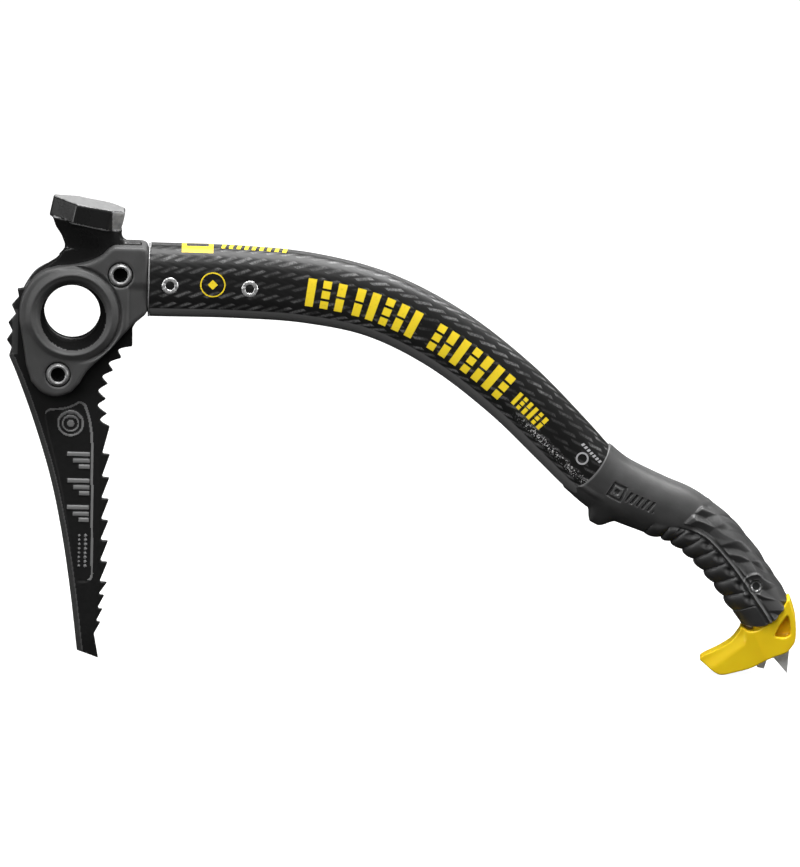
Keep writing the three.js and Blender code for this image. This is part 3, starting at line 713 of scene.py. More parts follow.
belly = shaft.data.attributes.new("belly", "FLOAT", "POINT")
for vertex, mark in zip(shaft.data.vertices, belly.data):
    spot = (vertex.co - ORIGIN) / MM
    distance, height = shaft_line.nearest(spot.x, spot.z)
    mark.value = height + shaft_line.at(distance)[2] / 2
dress(shaft, CARBON, "carbon", "shaft")

# %% [markdown]
# ## Printed marks
#
# The shaft carries bold yellow marks along each side and across its top, and a small silver ring near the
# grip. They are plain geometric signs here. Each stroke is a small grid that is laid on the shaft's skin
# and given the thickness of a coat of ink, so it follows every curve and needs no picture.

# %% Strokes of ink
INK_THICKNESS = 0.07
INK_LIFT = 0.05
INK_GAP = 0.002
STROKE_STEPS = 6


def stroke(shape, lay, across=STROKE_STEPS, along=STROKE_STEPS):
    """One patch of ink. shape(u, v) gives a place on the shaft, and lay puts that on its skin."""
    select_none()
    bpy.ops.mesh.primitive_grid_add(x_subdivisions=across, y_subdivisions=along, size=1)
    patch = bpy.context.object
    for vertex in patch.data.vertices:
        vertex.co = lay(*shape(vertex.co.x + 0.5, vertex.co.y + 0.5))
    merge_points(INK_GAP)
    face_outwards()
    return patch


def slanted(start, low, high, width, slant=0.0):
    """A stroke from a low to a high place, of one width, whose top leans along the shaft."""
    return lambda u, v: (start + width * u + slant * v, low + (high - low) * v)


def hoop(distance, height, radius, line):
    """A ring round a spot."""
    def shape(u, v):
        reach = radius - line / 2 + line * v
        angle = 2 * math.pi * u
        return distance + reach * math.cos(angle), height + reach * math.sin(angle)
    return shape


def apply_modifier(piece, kind, **settings):
    """Adds a modifier of a kind to the active piece, sets it and applies it."""
    modifier = piece.modifiers.new(kind.lower(), kind)
    for key, value in settings.items():
        setattr(modifier, key, value)
    bpy.ops.object.modifier_apply(modifier=modifier.name)


def printed(name, patches, material):
    """Joins patches into one print with the thickness of ink."""
    select_none()
    for patch in patches:
        patch.select_set(True)
    bpy.context.view_layer.objects.active = patches[0]
    bpy.ops.object.join()
    piece = bpy.context.object
    piece.name = name
    apply_modifier(piece, "SOLIDIFY", thickness=INK_THICKNESS * MM, offset=0)
    give(piece, material)
    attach(piece, "root")
    print(name, len(patches), "strokes")


def skin_at(half, off_middle):
    """How far out the shaft's skin is, for a half width and a share of the way from middle to corner."""
    share = min(abs(off_middle), 1)
    return half * (1 - share ** SHAFT_SQUARENESS) ** (1 / SHAFT_SQUARENESS) + INK_LIFT


def beside(side):
    """Lays places on a side of the shaft, given how far along it they are and how high."""
    def lay(distance, height):
        centre, forward, depth, width = shaft_line.at(distance)
        return at(*off_line(centre, forward, height, side * skin_at(width / 2, 2 * height / depth)))
    return lay


def on_top(distance, y):
    """Lays a place on the shaft's upper face, given how far across it is."""
    centre, forward, depth, width = shaft_line.at(distance)
    return at(*off_line(centre, forward, skin_at(depth / 2, 2 * y / width), y))

# %% The band of marks along each side
BAND_HALF = 8.4
BLOCK_WIDTH, BLOCK_GAP = 4.9, 1.5
BAND_GROUPS = [(137, 3, 8.9), (166.5, 5, 8.7), (212.5, 7, 8.2)]
SMALL_BAND = (262, 6, 4.3, 4.2)
ROUNDEL_AT = (83, 21.2)
ROUNDEL_RADIUS, ROUNDEL_LINE, ROUNDEL_STEPS = 7.1, 0.75, 48
LOZENGE_HALF = 3


def blocks(count):
    """A broad upright mark that is split into a number of blocks, one above the other."""
    def shapes(start, half):
        wide, gap = BLOCK_WIDTH * half / BAND_HALF, BLOCK_GAP * half / BAND_HALF
        tall = (2 * half - gap * (count - 1)) / count
        return [slanted(start, -half + (tall + gap) * i, -half + (tall + gap) * i + tall, wide)
                for i in range(count)]
    return shapes


MARK_KINDS = [blocks(1), blocks(3), blocks(2)]


def band_shapes():
    """All strokes of the band: three groups at full height, and a small one near the grip."""
    shapes = []
    for x, count, pitch in BAND_GROUPS:
        start = shaft_line.along_at(x)
        for i in range(count):
            shapes += MARK_KINDS[(i + count) % len(MARK_KINDS)](start + pitch * i, BAND_HALF)
    x, count, half, pitch = SMALL_BAND
    start = shaft_line.along_at(x)
    for i in range(count):
        shapes += MARK_KINDS[i % len(MARK_KINDS)](start + pitch * i, half)
    return shapes


def lozenge(distance, height):
    """A square that stands on its corner."""
    return lambda u, v: (distance + LOZENGE_HALF * (u - v), height + LOZENGE_HALF * (u + v - 1))


for side, name in ((NEAR, "near_side_marks"), (FAR, "far_side_marks")):
    lay = beside(side)
    roundel = shaft_line.nearest(*ROUNDEL_AT)
    patches = [stroke(shape, lay) for shape in band_shapes()]
    patches.append(stroke(hoop(*roundel, ROUNDEL_RADIUS, ROUNDEL_LINE), lay, ROUNDEL_STEPS, 2))
    patches.append(stroke(lozenge(*roundel), lay))
    printed(name, patches, YELLOW_INK)

# %% Marks across the top, and the silver ring
TOP_FRAME = (62, 82)
TOP_HALF = 9.6
FRAME_LINE, FRAME_BAR = 2.6, 5
TOP_TICKS_FROM, TOP_TICKS_TO, TOP_TICK_COUNT = 86, 121, 9
TICK_LOW, TICK_HIGH, TICK_WIDTH, TICK_SLANT = -6, 7, 2.2, 1.4

frame_start, frame_end = (shaft_line.along_at(x) for x in TOP_FRAME)
bar_start, bar_width = frame_start + FRAME_LINE, frame_end - frame_start - 2 * FRAME_LINE
top_shapes = [
    slanted(frame_start, -TOP_HALF, TOP_HALF, FRAME_LINE),
    slanted(frame_end - FRAME_LINE, -TOP_HALF, TOP_HALF, FRAME_LINE),
    slanted(bar_start, -TOP_HALF, -TOP_HALF + FRAME_BAR, bar_width),
    slanted(bar_start, TOP_HALF - FRAME_BAR, TOP_HALF, bar_width),
]
ticks_start, ticks_end = (shaft_line.along_at(x) for x in (TOP_TICKS_FROM, TOP_TICKS_TO))
for i in range(TOP_TICK_COUNT):
    start = ticks_start + (ticks_end - ticks_start) * i / (TOP_TICK_COUNT - 1)
    top_shapes.append(slanted(start, TICK_LOW, TICK_HIGH, TICK_WIDTH, TICK_SLANT))
printed("top_marks", [stroke(shape, on_top, 8, 12) for shape in top_shapes], YELLOW_INK)

RING_AT, BAR_AT = (303, -77.6), (308.5, -74.6)
RING_RADIUS, RING_LINE, RING_STEPS = 3.3, 1.0, 40
BAR_LENGTH, BAR_DOTS = 17, 7
DOT_HALF, DOT_SHARE, DOT_SLANT = 0.9, 0.6, 0.5

for side, name in ((NEAR, "near_silver_marks"), (FAR, "far_silver_marks")):
    lay = beside(side)
    patches = [stroke(hoop(*shaft_line.nearest(*RING_AT), RING_RADIUS, RING_LINE), lay, RING_STEPS, 2)]
    distance, height = shaft_line.nearest(*BAR_AT)
    pitch = BAR_LENGTH / BAR_DOTS
    for i in range(BAR_DOTS):
        start = distance - BAR_LENGTH / 2 + pitch * i
        dot = slanted(start, height - DOT_HALF, height + DOT_HALF, pitch * DOT_SHARE, DOT_SLANT)
        patches.append(stroke(dot, lay, 3, 3))
    printed(name, patches, SILVER_INK)

# %% [markdown]
# ## Grip
#
# The grip is one thick rubber moulding. Its belly has eight finger ribs that end in pockets under a raised
# parting line, its back has a skin of irregular facets that grips a glove, and towards the head it runs
# out in a smooth collar with a small lobe for the index finger. Sculpting would make one such relief by
# eye. Here a grid is rolled round the grip's own line, and every feature is a height added to the skin,
# so each stays where a few numbers put it.

# %% The grip's line and its ends
GRIP_STATIONS = [
    (299.6, -78.2, 37.4, 26.6), (306.6, -84.6, 37.6, 27.2), (320, -95, 37.6, 28),
    (344.4, -105.7, 35.6, 28.6), (362.2, -112.4, 34, 28.6), (378.4, -124.2, 33.2, 28.4),
    (388.6, -134.8, 33, 28), (398.8, -147.7, 32.2, 27.6), (407.7, -160.6, 32, 27),
    (413.2, -168.7, 31.4, 26), (420, -179.6, 30.2, 25.4),
]
GRIP_SQUARENESS = 2.3
GRIP_AROUND = 200
GRIP_LENGTHWAYS = 330
EDGE_ROUNDING = 1.3
SIDE_SETBACK, TONGUE_REACH, END_BOW = 4.2, 3.2, 7

grip_line = BentLine(GRIP_STATIONS)
GRIP_START = grip_line.along_at(306.6)
GRIP_END = grip_line.along_at(412.8)
grip_turns, grip_girth = even_turns(34, 28, GRIP_SQUARENESS, GRIP_AROUND)


def step(low, high, value):
    """0 below a limit and 1 above another, and smooth between."""
    share = clamp((value - low) / (high - low))
    return share * share * (3 - 2 * share)


def hump(centre, reach, value):
    """A smooth hump of height 1, which is 0 past its reach."""
    return 1 - step(0, reach, abs(value - centre))


def grip_start(level):
    """The upper edge recedes on the sides and runs out in a tongue on the belly."""
    return GRIP_START + SIDE_SETBACK * (1 - level ** 2) - TONGUE_REACH * step(0.4, 1, -level)


def grip_end(level):
    """The lower edge is one round arc from the belly to the back."""
    return GRIP_END + END_BOW * (1 - level ** 2)

# %% The relief of the grip
RIB_COUNT = 8
RIBS_FROM = grip_line.along_at(348.5)
RIBS_TO = grip_line.along_at(409.5)
RIB_PITCH = (RIBS_TO - RIBS_FROM) / RIB_COUNT
PARTING_FROM = grip_line.along_at(370)
SCALES_FROM = grip_line.along_at(364)
SCALE_SIZE = 8.6
SCALE_HEIGHT = 3.1
SCALE_UNEVENNESS = 0.7
BACK_CALM = 0.6
LOBE_AT = grip_line.along_at(320.3)
LOBE_HEIGHT = 6.3
PARTING_LEVEL, PARTING_DROP = 0.6, 7.5
RIB_LEAN, RIB_LEAN_DEPTH = 0.28, 14
RIB_SWELL, RIB_NOTCH = 1.75, 0.75
FIRST_POCKET, POCKET_DEPTH = 1.6, 2.1
RIDGE_HEIGHT, RIDGE_GROOVE = 1.2, 0.7
TONGUE_RIDGE_FROM, TONGUE_RIDGE_HEIGHT = grip_line.along_at(303), 0.55

random.seed(7)
scale_heights = {(i, j): SCALE_HEIGHT * ((i - j) % 3) / 2 + random.uniform(0, SCALE_UNEVENNESS)
                 for i in range(-4, 40) for j in range(-20, 20)}


def parting_height(distance):
    """Where the parting line runs on the side, above the grip's centre line."""
    return PARTING_LEVEL - PARTING_DROP * (1 - step(RIBS_FROM, PARTING_FROM + 12, distance))


def rib_place(distance, below):
    """How many ribs along the grip a point is. The ribs lean, so depth below the parting line counts too."""
    return (distance - RIBS_FROM + RIB_LEAN * min(below, RIB_LEAN_DEPTH)) / RIB_PITCH


def ribs(distance, height):
    """Finger ribs: each swells slowly and ends in a sharp notch, and all stop below the parting line."""
    below = parting_height(distance) - height
    place = rib_place(distance, below)
    if not 0 <= place < RIB_COUNT:
        return 0.0
    share = place - math.floor(place)
    swell = math.sin(math.pi * share ** 0.72) ** 0.7
    return (RIB_SWELL * swell - RIB_NOTCH) * step(0.8, 4.5, below)


def pockets(distance, height):
    """A hollow at the top of each rib."""
    below = parting_height(distance) - height
    place = rib_place(distance, below)
    if not FIRST_POCKET <= place < RIB_COUNT:
        return 0.0
    share = place - math.floor(place)
    return -POCKET_DEPTH * hump(0.5, 0.42, share) * hump(3.4, 2.9, below)


def parting_ridge(distance, height):
    """A raised line along the side, with a groove under it that starts sooner than the line does."""
    above = height - parting_height(distance)
    ridge = RIDGE_HEIGHT * hump(0, 1.2, above) * step(PARTING_FROM - 2, PARTING_FROM + 5, distance)
    groove = RIDGE_GROOVE * hump(-1.6, 1.2, above) * step(-16, 0, distance - PARTING_FROM)
    return ridge - groove


def scales(distance, height, round_it):
    """Flat three-cornered facets on the back above the parting line. Neighbouring corners are never level."""
    above = height - parting_height(distance)
    present = step(1.6, 2.6, above) * step(-0.8, 0.8, distance - SCALES_FROM - 0.25 * above)
    if present == 0:
        return 0.0
    warp_a = 1.7 * math.sin(distance / 5.3 + round_it / 4.1)
    warp_b = 1.9 * math.sin(distance / 6.7 - round_it / 5.9)
    a = (distance - SCALES_FROM + warp_a + 0.5 * round_it) / SCALE_SIZE
    b = (round_it + warp_b) / (0.86 * SCALE_SIZE)
    i, j = math.floor(a), math.floor(b)
    u, v = a - i, b - j
    if u + v > 1:
        i, j, u, v = i + 1, j + 1, 1 - u, 1 - v
        corners = scale_heights[i, j], scale_heights[i - 1, j], scale_heights[i, j - 1]
    else:
        corners = scale_heights[i, j], scale_heights[i + 1, j], scale_heights[i, j + 1]
    present *= 1 - BACK_CALM * step(12, 16, height)
    return present * (corners[0] * (1 - u - v) + corners[1] * u + corners[2] * v - 0.45 * SCALE_HEIGHT)


def lobe(distance, level, y):
    """The small round lobe under the index finger."""
    place = distance - LOBE_AT
    rise = step(-4.2, 0.2, place) * (1 - step(3.2, 11, place))
    return LOBE_HEIGHT * rise * (1 - step(5, 12.5, abs(y))) * step(0.4, 0.9, -level)


def tongue_ridge(distance, height):
    """A soft ridge down the collar from its edge to the lobe."""
    place = distance - TONGUE_RIDGE_FROM
    present = step(-8, 0, place) * (1 - step(14, 26, place))
    return TONGUE_RIDGE_HEIGHT * hump(-10.5 + 0.12 * place, 2.6, height) * present


STAMP_AT = grip_line.along_at(319.5)
STAMP_LEVEL, STAMP_DEPTH = 0.2, 1.0
FRAME_AT, FRAME_LONG, FRAME_TALL = 4.6, 4.4, 4.6
STAMP_DOT_R = 1.7
TICKS_AT, TICKS_END, STAMP_TICK_PITCH, STAMP_TICK_HALF = 11, 29, 3.6, 3.2


def stamp(distance, height):
    """A stamped sign on the collar: a frame with a dot, and a row of slanted ticks."""
    place, level = distance - STAMP_AT, height - STAMP_LEVEL
    outer = max(abs(place - FRAME_AT) - FRAME_LONG, abs(level) - FRAME_TALL)
    framed = step(-0.45, -0.1, -abs(outer + 0.6) + 0.5)
    dot = step(-0.3, 0.3, STAMP_DOT_R - math.hypot(place - FRAME_AT, level))
    tick_share = ((place - 0.3 * level - TICKS_AT) / STAMP_TICK_PITCH) % 1
    ticks = step(0.03, 0.12, 0.5 - abs(tick_share - 0.5)) * step(0.1, 0.2, 0.62 - tick_share)
    within = step(0, 0.4, place - TICKS_AT) * step(0, 0.4, TICKS_END - place)
    row = ticks * step(-0.2, 0.2, STAMP_TICK_HALF - abs(level)) * within
    return -STAMP_DEPTH * max(framed, dot, row)

# %% Rolling the grip
RIVET_HOLLOW_R, RIVET_HOLLOW_Y = 3.5, 10.9
ARC_R, ARC_HEIGHT = 7.8, 0.7
SIDE_Y = 8
lower_rivet = middle("lower_rivet")


def polar(spot, centre):
    """How far a spot is from a centre, seen from the side, and in which direction."""
    across, up = spot.x - centre.x, spot.z - centre.z
    return math.hypot(across, up), math.atan2(up, across)


def thinned(y, limit):
    """Brings a point nearer to the middle plane than a limit, on its own side."""
    return math.copysign(min(abs(y), limit), y)


def rivet_hollow(spot):
    """Presses a round hollow for the lower rivet into both sides, with a raised arc above it."""
    reach, _ = polar(spot, lower_rivet)
    y = thinned(spot.y, RIVET_HOLLOW_Y + 5.5 * step(RIVET_HOLLOW_R - 0.4, RIVET_HOLLOW_R + 1.6, reach))
    leaning = step(-0.2, 0.5, (lower_rivet.x - spot.x + spot.z - lower_rivet.z) / max(reach, 1))
    arc = ARC_HEIGHT * hump(ARC_R, 1.2, reach) * leaning
    on_side = abs(spot.y) > SIDE_Y
    return Vector((spot.x, y + math.copysign(arc, y) * on_side, spot.z))


def on_grip(along, turn):
    angle = turn_angle(grip_turns, turn)
    level, sideways = -bow(math.cos(angle), GRIP_SQUARENESS), -bow(math.sin(angle), GRIP_SQUARENESS)
    start, end = grip_start(level), grip_end(level)
    distance = start + (end - start) * along
    centre, forward, depth, width = grip_line.at(distance)
    height, y = level * depth / 2, sideways * width / 2
    round_it = abs(turn - 0.5) * grip_girth
    relief = (ribs(distance, height) + pockets(distance, height) + parting_ridge(distance, height)
              + scales(distance, height, round_it) + stamp(distance, height) + tongue_ridge(distance, height))
    edge = min(distance - start, end - distance, EDGE_ROUNDING)
    relief -= EDGE_ROUNDING - math.sqrt(EDGE_ROUNDING ** 2 - (EDGE_ROUNDING - edge) ** 2)
    outward = Vector((sideways / width, level / depth)).normalized()
    y += outward.x * relief
    height += outward.y * relief - lobe(distance, level, y)
    return at(*rivet_hollow(off_line(centre, forward, height, y)))


grip = rolled("moulded_grip", GRIP_LENGTHWAYS, GRIP_AROUND, on_grip)
dress(grip, RUBBER, "rubber", "grip")

# %% [markdown]
# ## Forged pieces
#
# Pick, hammer and head are hot forgings: no edge on them is really sharp, and their skin swells and dips.
# Bevelling edge by edge would leave them looking milled. Instead a copy of each frame node is merged,
# meshed evenly by the Remesh modifier and softened by the Smooth modifier, like a forging that was
# tumbled. That even skin then takes relief that is pressed in point by point, in the drawing's
# millimetres: ground bevels, rings, steps and the sunk panel with its raised marks.

# %% An even, softened copy of a frame node
COPY_GAP = 0.001


def soften(piece, rounds):
    """Smooths a piece's points for some rounds."""
    apply_modifier(piece, "SMOOTH", factor=0.5, iterations=rounds)


def even_copy(node, name, voxel, rounds, end_x=None):
    """A merged copy of a node in even squares of voxel millimetres, cut off past end_x and softened."""
    select_none()
    source = frame["nodes"][node]
    source.select_set(True)
    bpy.context.view_layer.objects.active = source
    bpy.ops.object.duplicate()
    piece = bpy.context.object
    piece.name = name
    del piece["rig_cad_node"]
    bpy.ops.object.parent_clear(type="CLEAR_KEEP_TRANSFORM")
    merge_points(COPY_GAP)
    if end_x is not None:
        bpy.ops.mesh.bisect(plane_co=at(end_x, 0, 0), plane_no=(1, 0, 0), clear_outer=True, use_fill=True)
    bpy.ops.object.mode_set(mode="OBJECT")
    apply_modifier(piece, "REMESH", mode="VOXEL", voxel_size=voxel * MM, use_smooth_shade=True)
    soften(piece, rounds)
    return piece


def press(piece, relief):
    """Moves every point of a piece by a relief, which maps a spot to a new spot in the drawing's mm."""
    for vertex in piece.data.vertices:
        vertex.co = at(*relief((vertex.co - ORIGIN) / MM))
    piece.data.update()

# %% [markdown]
# ## Pick
#
# The pick is forged flat and then ground: a bevel runs down its spine, the point is ground to a chisel,
# and the front of each tooth is bevelled to bite. A sunk panel saves weight. It carries raised signs, here
# a disc in two rings, three stacks of bars and two rows of dots.

# %% Pick
PICK_SPINE = [(-38, -17), (-36, -27.2), (-30.5, -40), (-20.6, -66.5), (-10.7, -98), (-3.7, -129),
              (1.9, -162), (7.3, -202.6)]
PICK_FRONT = [(36, -22), (24, -34), (20, -50), (20.5, -66), (21.5, -84), (21.5, -161),
              (20.6, -180), (18.8, -200)]
SPINE_BEVEL, SPINE_BEVEL_DEPTH = 3.2, 1.15
FRONT_BEVEL, FRONT_BEVEL_DEPTH, FRONT_LAND = 4.5, 0.95, 1.5
POINT_DEPTH, BACK_TEETH_DEPTH = 0.8, 0.9
THINNEST = 0.35
SIGN_HEIGHT = 0.45
BLADE_TOP_Z = -25
FIRST_SIGN_Z, LAST_SIGN_Z = -56, -156

spine_line = BentLine([(x, z, 0, 0) for x, z in PICK_SPINE])
front_line = BentLine([(x, z, 0, 0) for x, z in PICK_FRONT])


def at_level(line, z):
    """Where a line that runs down the pick crosses a level."""
    for here, there in zip(line.samples, line.samples[1:]):
        if here.y >= z >= there.y:
            return here.x + (there.x - here.x) * (here.y - z) / (here.y - there.y)
    return line.samples[-1 if z < line.samples[-1].y else 0].x


def target(x, z):
    """A round sign: a plain disc inside two rings."""
    reach = math.hypot(x, z)
    return max(hump(7.3, 1.1, reach), hump(4.6, 0.9, reach), step(-0.4, 0.4, 2.1 - reach))


def raised_bars(x, z):
    """Three broad signs down the panel, each of three bars of falling length."""
    sign = 0.0
    for top in (-82.5, -98.5, -114.5):
        for i, length in enumerate((12.5, 9, 5.5)):
            centre_z = top - 2.2 - 3.7 * i
            start = 11.5 - length + (top + 82.5) * -0.03
            inside = min(x - start, 12.6 - x, 1.25 - abs(z - centre_z))
            sign = max(sign, step(-0.25, 0.35, inside))
    return sign


def raised_dots(x, z):
    """Two rows of small dots near the foot of the panel."""
    if not (5.4 < x < 13.4 and -153 < z < -132):
        return 0.0
    row = math.floor((x - 5.4) / 4)
    place = ((z + 153) / 2.6) % 1 - 0.5
    return step(-0.2, 0.3, 0.75 - math.hypot(place * 2.6, x - 7.4 - 4 * row))


def signs(x, z):
    """How far a spot on the panel belongs to a raised sign, from 0 to 1."""
    if not LAST_SIGN_Z < z < FIRST_SIGN_Z:
        return 0.0
    return max(target(x - 0.9, z + 66.2), raised_bars(x, z), raised_dots(x, z))


def pick_relief(spot):
    """Grinds the bevels and the point, thins the back teeth and raises the signs."""
    x, y, z = spot
    side = math.copysign(1, y)
    if abs(y) < 0.9:
        return spot
    if z < BLADE_TOP_Z:
        from_spine, to_front = x - at_level(spine_line, z), at_level(front_line, z) - x
        cut = SPINE_BEVEL_DEPTH * (1 - clamp(from_spine / SPINE_BEVEL))
        cut += FRONT_BEVEL_DEPTH * (1 - clamp((to_front + FRONT_LAND) / FRONT_BEVEL)) * step(-32, -44, z)
        cut += POINT_DEPTH * step(-192, -207, z)
        y = side * max(abs(y) - cut, THINNEST)
    elif x < -27:
        y = side * max(abs(y) - BACK_TEETH_DEPTH * step(-31, -37, x), 0.5)
    return Vector((x, y + side * SIGN_HEIGHT * signs(x, z), z))


def second_finish(piece, material, chosen):
    """Gives one more finish to the faces that are chosen by their middle, in the drawing's mm, and normal."""
    piece.data.materials.append(material)
    count = 0
    for face in piece.data.polygons:
        if chosen((face.center - ORIGIN) / MM, face.normal):
            face.material_index = len(piece.data.materials) - 1
            count += 1
    print(piece.name, count, "faces in", material.name)


def on_bevel(spot, normal):
    """The ground bevel down the pick's spine."""
    if spot.z > BLADE_TOP_Z:
        return -34.6 < spot.x < -31.4 and spot.z < 2
    return spot.x - at_level(spine_line, spot.z) < SPINE_BEVEL and abs(normal.y) > 0.3


def on_bevel_highlight_line(spot, normal):
    """A thin line along the inner edge of the spine's bevel, painted lighter as a highlight."""
    off_edge = spot.x - at_level(spine_line, spot.z) - SPINE_BEVEL
    return spot.z < -27 and abs(off_edge) < 0.4 and abs(normal.y) > 0.3


def rubbed_signs_and_highlit_steps(spot, normal):
    """The tops of the raised signs, rubbed bright, and the walls of the panel's step that face left or down,
    painted lighter as highlights.
    """
    if abs(spot.y) < 1.0 or abs(normal.y) < 0.3 or not -160 < spot.z < -50:
        return False
    highlit_tooth_side_step = 7 < spot.x < 17 and normal.x < -0.07
    highlit_top_step = spot.z > -63 and -14 < spot.x < 14 and normal.z < -0.12
    return signs(spot.x, spot.z) > 0.45 or highlit_tooth_side_step or highlit_top_step


pick = even_copy("pick", "forged_pick", 0.5, 2)
press(pick, pick_relief)
shade_smooth(50)
dress(pick, STEEL, "forged_steel", "pick")
second_finish(pick, BEVEL_STEEL, on_bevel)
second_finish(pick, BEVEL_HIGHLIGHT_STEEL, on_bevel_highlight_line)
second_finish(pick, RUBBED_AND_HIGHLIT_STEEL, rubbed_signs_and_highlit_steps)

# %% [markdown]
# ## Hammer and head
#
# The hammer's block is ground on its striking face only, so its edges stay crisper than its neck. The head
# is a forging that was blasted and anodised. A dished ring stands round its hole, a groove follows the
# ring on the side towards the shaft, and the cheek steps down there. The head's tang runs on inside the
# shaft where nobody sees it, so the copy ends just past the shoulder.

# %% Hammer
FACET_X, FACET_END_X, FACET_DEPTH = 22.5, 28.5, 6.5
BLOCK_HALF, BLOCK_FOOT_Z = 15, 50


def hammer_relief(spot):
    """Cuts a facet off both upright corners towards the shaft, and swells the block's end a little."""
    x, y, z = spot
    if z < BLOCK_FOOT_Z:
        return spot
    y = thinned(y, BLOCK_HALF - FACET_DEPTH * clamp((x - FACET_X) / (FACET_END_X - FACET_X)))
    out = 0.7 * step(20, 28, x) * step(50, 56, z)
    up = 0.5 * step(5, 20, x) * step(60, 64, z)
    return Vector((x + out, y, z + up))


hammer = even_copy("hammer", "forged_hammer", 0.5, 7)
press(hammer, hammer_relief)
shade_smooth(50)
dress(hammer, GLOSS_STEEL, "forged_steel", "hammer")
second_finish(hammer, FACE_STEEL, lambda spot, normal: spot.z > 58 and normal.z > 0.75)
# Painted reflection: the facets towards the shaft and the block's end are painted lighter for the light from
# the right.
second_finish(hammer, FACET_REFLECTION_STEEL,
              lambda spot, normal: spot.z > 51 and spot.x > FACET_X + 0.6 and abs(normal.z) < 0.6)
# Painted highlight: the block's down-facing shoulders are painted a lighter grey.
second_finish(hammer, RUBBED_AND_HIGHLIT_STEEL,
              lambda spot, normal: 47 < spot.z < 59 and abs(spot.y) > 12.5 and -0.8 < normal.z < -0.2)

# %% Head
TANG_SHOWN_TO = 48
CHEEK_Y = 9
RING_CREST_R, CREST_HEIGHT = 24, 0.4
GROOVE_R, GROOVE_DEPTH = 28.6, 1.9
STEP_X, STEP_DEPTH = 33.4, 1.2
BORE_SHADE_R = 19.3
BORE_SHADE_SHIFT = 2
HOLE_MOUTH, DISH_SLOPE = (18.6, 21.4), 0.45
hole = Vector((HOLE.x, 0, HOLE.z))


def head_relief(spot):
    """Presses in the dished ring and its groove, steps the cheek down and swells the upper left."""
    x, y, z = spot
    reach, angle = polar(spot, hole)
    swell = 0.8 * hump(math.radians(132), math.radians(36), angle) * step(25, 29, reach)
    swell -= 0.4 * (1 - step(16.8, 19, reach))
    x, z = x + swell * math.cos(angle), z + swell * math.sin(angle)
    if abs(y) < CHEEK_Y:
        return Vector((x, y, z))
    forward_side = step(-0.25, 0.35, math.cos(angle - math.radians(8)))
    sunk = GROOVE_DEPTH * hump(GROOVE_R, 1.7, reach) * step(-0.2, 0.4, math.cos(angle - math.radians(15)))
    crest = CREST_HEIGHT * hump(RING_CREST_R, 1.5, reach)
    dish = -DISH_SLOPE * (abs(y) - CHEEK_Y) * (1 - step(*HOLE_MOUTH, reach))
    cheek_step = STEP_DEPTH * step(STEP_X - 0.7, STEP_X + 0.7, x) * (1 - step(16, 22, z)) * forward_side
    end_fall = 0.5 * step(40.5, 44.5, x)
    lower = 0.7 * step(-14, -22, x + 0.28 * (z + 20)) * step(-4, -12, z)
    level = crest + dish - sunk - cheek_step - end_fall - lower
    return Vector((x, y + math.copysign(1, y) * level, z))


head = even_copy("head_fork", "forged_head", 0.62, 3, end_x=TANG_SHOWN_TO)
press(head, head_relief)
shade_smooth(50)
dress(head, ALLOY, "anodised_alloy", "head_fork")


def in_bore_shade(spot, normal):
    """The wall of the hole, painted near-black as the shade inside the bore; the painted shade reaches
    further out below than above.
    """
    reach, angle = polar(spot, hole)
    return reach < BORE_SHADE_R + BORE_SHADE_SHIFT * math.cos(angle + math.radians(65))


second_finish(head, BORE_SHADE_BLACK, in_bore_shade)

# %% [markdown]
# ## Collar, bolts and rivets
#
# Small turned and stamped metal shows its quality in its edges. Each of these pieces is a copy of its
# node, meshed at about a fifth of a millimetre, so that its rims catch a thin line of light. The rivets'
# rims are peened over by hand, which leaves small nicks.

# %% Collar, bolts and rivets
RIVET_R, NICK_DEPTH = 5, 0.22
RIM_Y = 9


def peened(centre):
    """Small nicks round the rim of a rivet."""
    def relief(spot):
        x, y, z = spot
        reach, angle = polar(spot, centre)
        rim = step(0.45 * RIVET_R, 0.6 * RIVET_R, reach) * (abs(y) > RIM_Y)
        nick = NICK_DEPTH * rim * max(math.sin(5 * angle + 0.8) * math.sin(3 * angle), 0)
        return Vector((x, y - math.copysign(nick, y), z))
    return relief


for node, name in (("front_shaft_rivet", "front_peened_rivet"), ("rear_shaft_rivet", "rear_peened_rivet"),
                   ("lower_rivet", "lower_peened_rivet")):
    rivet = even_copy(node, name, 0.2, 4)
    press(rivet, peened(middle(node)))
    dress(rivet, STAINLESS, "stainless", node)

SOCKET_MOUTH_R, SOCKET_CUP = 4.3, 2.3
SOCKET_FLOOR_Y, SOCKET_TOP_Y = 10.2, 15
BOLT_RIM_R, BOLT_EDGE_R = 5.7, 7.4


def opened_socket(centre):
    """Widens a socket's mouth to a cup, and rounds the rim that is left round it."""
    def relief(spot):
        x, y, z = spot
        reach, _ = polar(spot, centre)
        outward = (abs(y) - SOCKET_FLOOR_Y) / (SOCKET_TOP_Y - SOCKET_FLOOR_Y)
        if outward < 0 or reach > BOLT_EDGE_R:
            return spot
        cup = SOCKET_CUP * (1 - step(SOCKET_MOUTH_R - 0.9, SOCKET_MOUTH_R + 0.2, reach))
        rim = 0.6 * hump(BOLT_RIM_R, 1.5, reach) - 0.2
        return Vector((x, math.copysign(abs(y) + (rim - cup) * outward, y), z))
    return relief


for node in ("upper_bolt", "lower_bolt", "upper_sleeve_nut", "lower_sleeve_nut"):
    centre = middle(node)
    bolt = even_copy(node, "turned_" + node, 0.22, 3)
    press(bolt, opened_socket(centre))
    dress(bolt, PLATED, "plated_steel", node)
    second_finish(bolt, SOCKET_BLACK,
                  lambda spot, normal: polar(spot, centre)[0] < SOCKET_MOUTH_R)

collar = even_copy("shaft_collar", "polished_collar", 0.2, 2)
dress(collar, PLATED, "plated_steel", "shaft_collar")

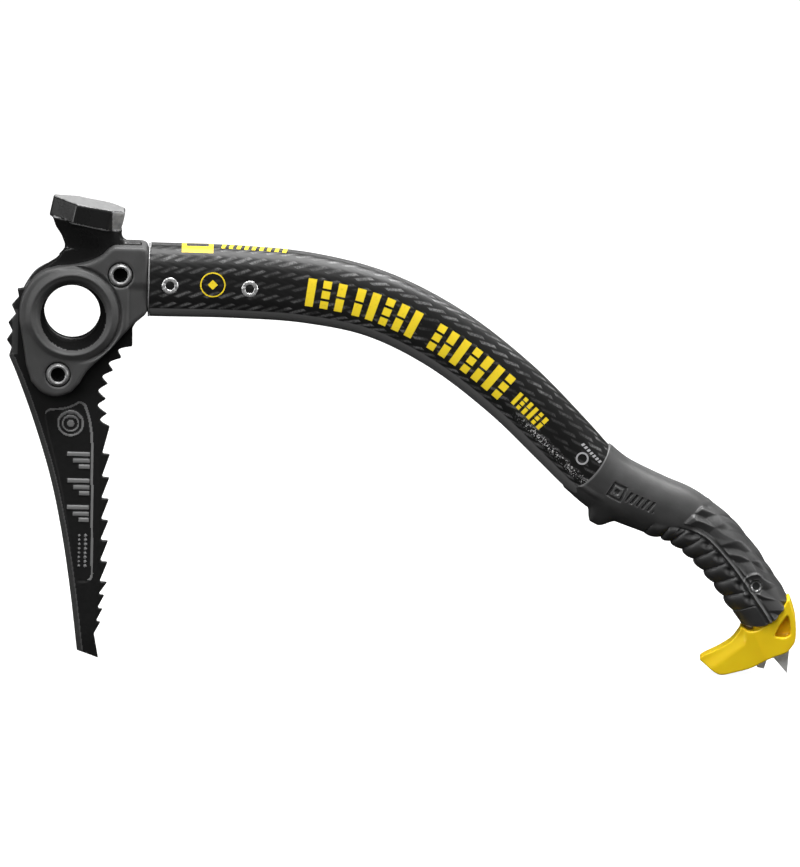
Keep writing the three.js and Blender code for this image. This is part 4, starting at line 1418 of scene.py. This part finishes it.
# %% [markdown]
# ## Hand rest and spike
#
# The hand rest is a thick injection moulding. Its tongue narrows towards the toe, so a soft ridge runs
# down each side where the tongue's flat meets the body's. The frame's solid is straight-sided. A copy of
# it is meshed evenly, narrowed point by point and softened. The spike is a laser-cut plate of steel. An
# even copy of its node keeps its outline, and the two points are ground thinner towards their tips.

# %% Hand rest
RIDGE_TOP, RIDGE_FOOT = Vector((407, -180)), Vector((415, -198))
TOE_X, TOE_NARROWING = 377, 0.36
TONGUE_EDGE = Vector((388, -191.4))
DOWN_X, DOWN_Z = 0.627, -0.779
EDGE_SWELL, TOE_REACH = 0.8, 0.7


def rest_relief(spot):
    """Narrows the tongue and the back, rounds the tongue's upper edge and brings both a little forward."""
    x, y, z = spot
    share = (z - RIDGE_TOP.y) / (RIDGE_FOOT.y - RIDGE_TOP.y)
    ridge_x = RIDGE_TOP.x + (RIDGE_FOOT.x - RIDGE_TOP.x) * share
    narrow = TOE_NARROWING * clamp((ridge_x - x) / (ridge_x - TOE_X), 0, 1.1)
    back = 0.12 * step(424, 433, x)
    below_edge = (x - TONGUE_EDGE.x) * DOWN_X + (z - TONGUE_EDGE.y) * DOWN_Z
    edge = 0.2 * (1 - step(0, 7, below_edge)) if x < 402 else 0
    swell = EDGE_SWELL * (1 - step(0, 5, below_edge)) * (1 - step(398, 404, x))
    toe = TOE_REACH * (1 - step(377, 388, x))
    return Vector((x - DOWN_X * swell - toe, y * (1 - narrow - back) * (1 - edge), z - DOWN_Z * swell))


rest = even_copy("hand_rest", "moulded_hand_rest", 0.55, 6)
press(rest, rest_relief)
soften(rest, 5)
shade_smooth(60)
dress(rest, YELLOW, "yellow_plastic", "hand_rest")

# %% Spike
POINT_FROM, POINT_TO, POINT_THINNING = -190, -207, 0.55


def spike_relief(spot):
    """Grinds the points thinner towards their tips."""
    x, y, z = spot
    return Vector((x, y * (1 - POINT_THINNING * step(POINT_FROM, POINT_TO, z)), z))


spike = even_copy("spike", "ground_spike", 0.3, 1)
press(spike, spike_relief)
shade_smooth(40)
dress(spike, SPIKE_STEEL, "stainless", "spike")
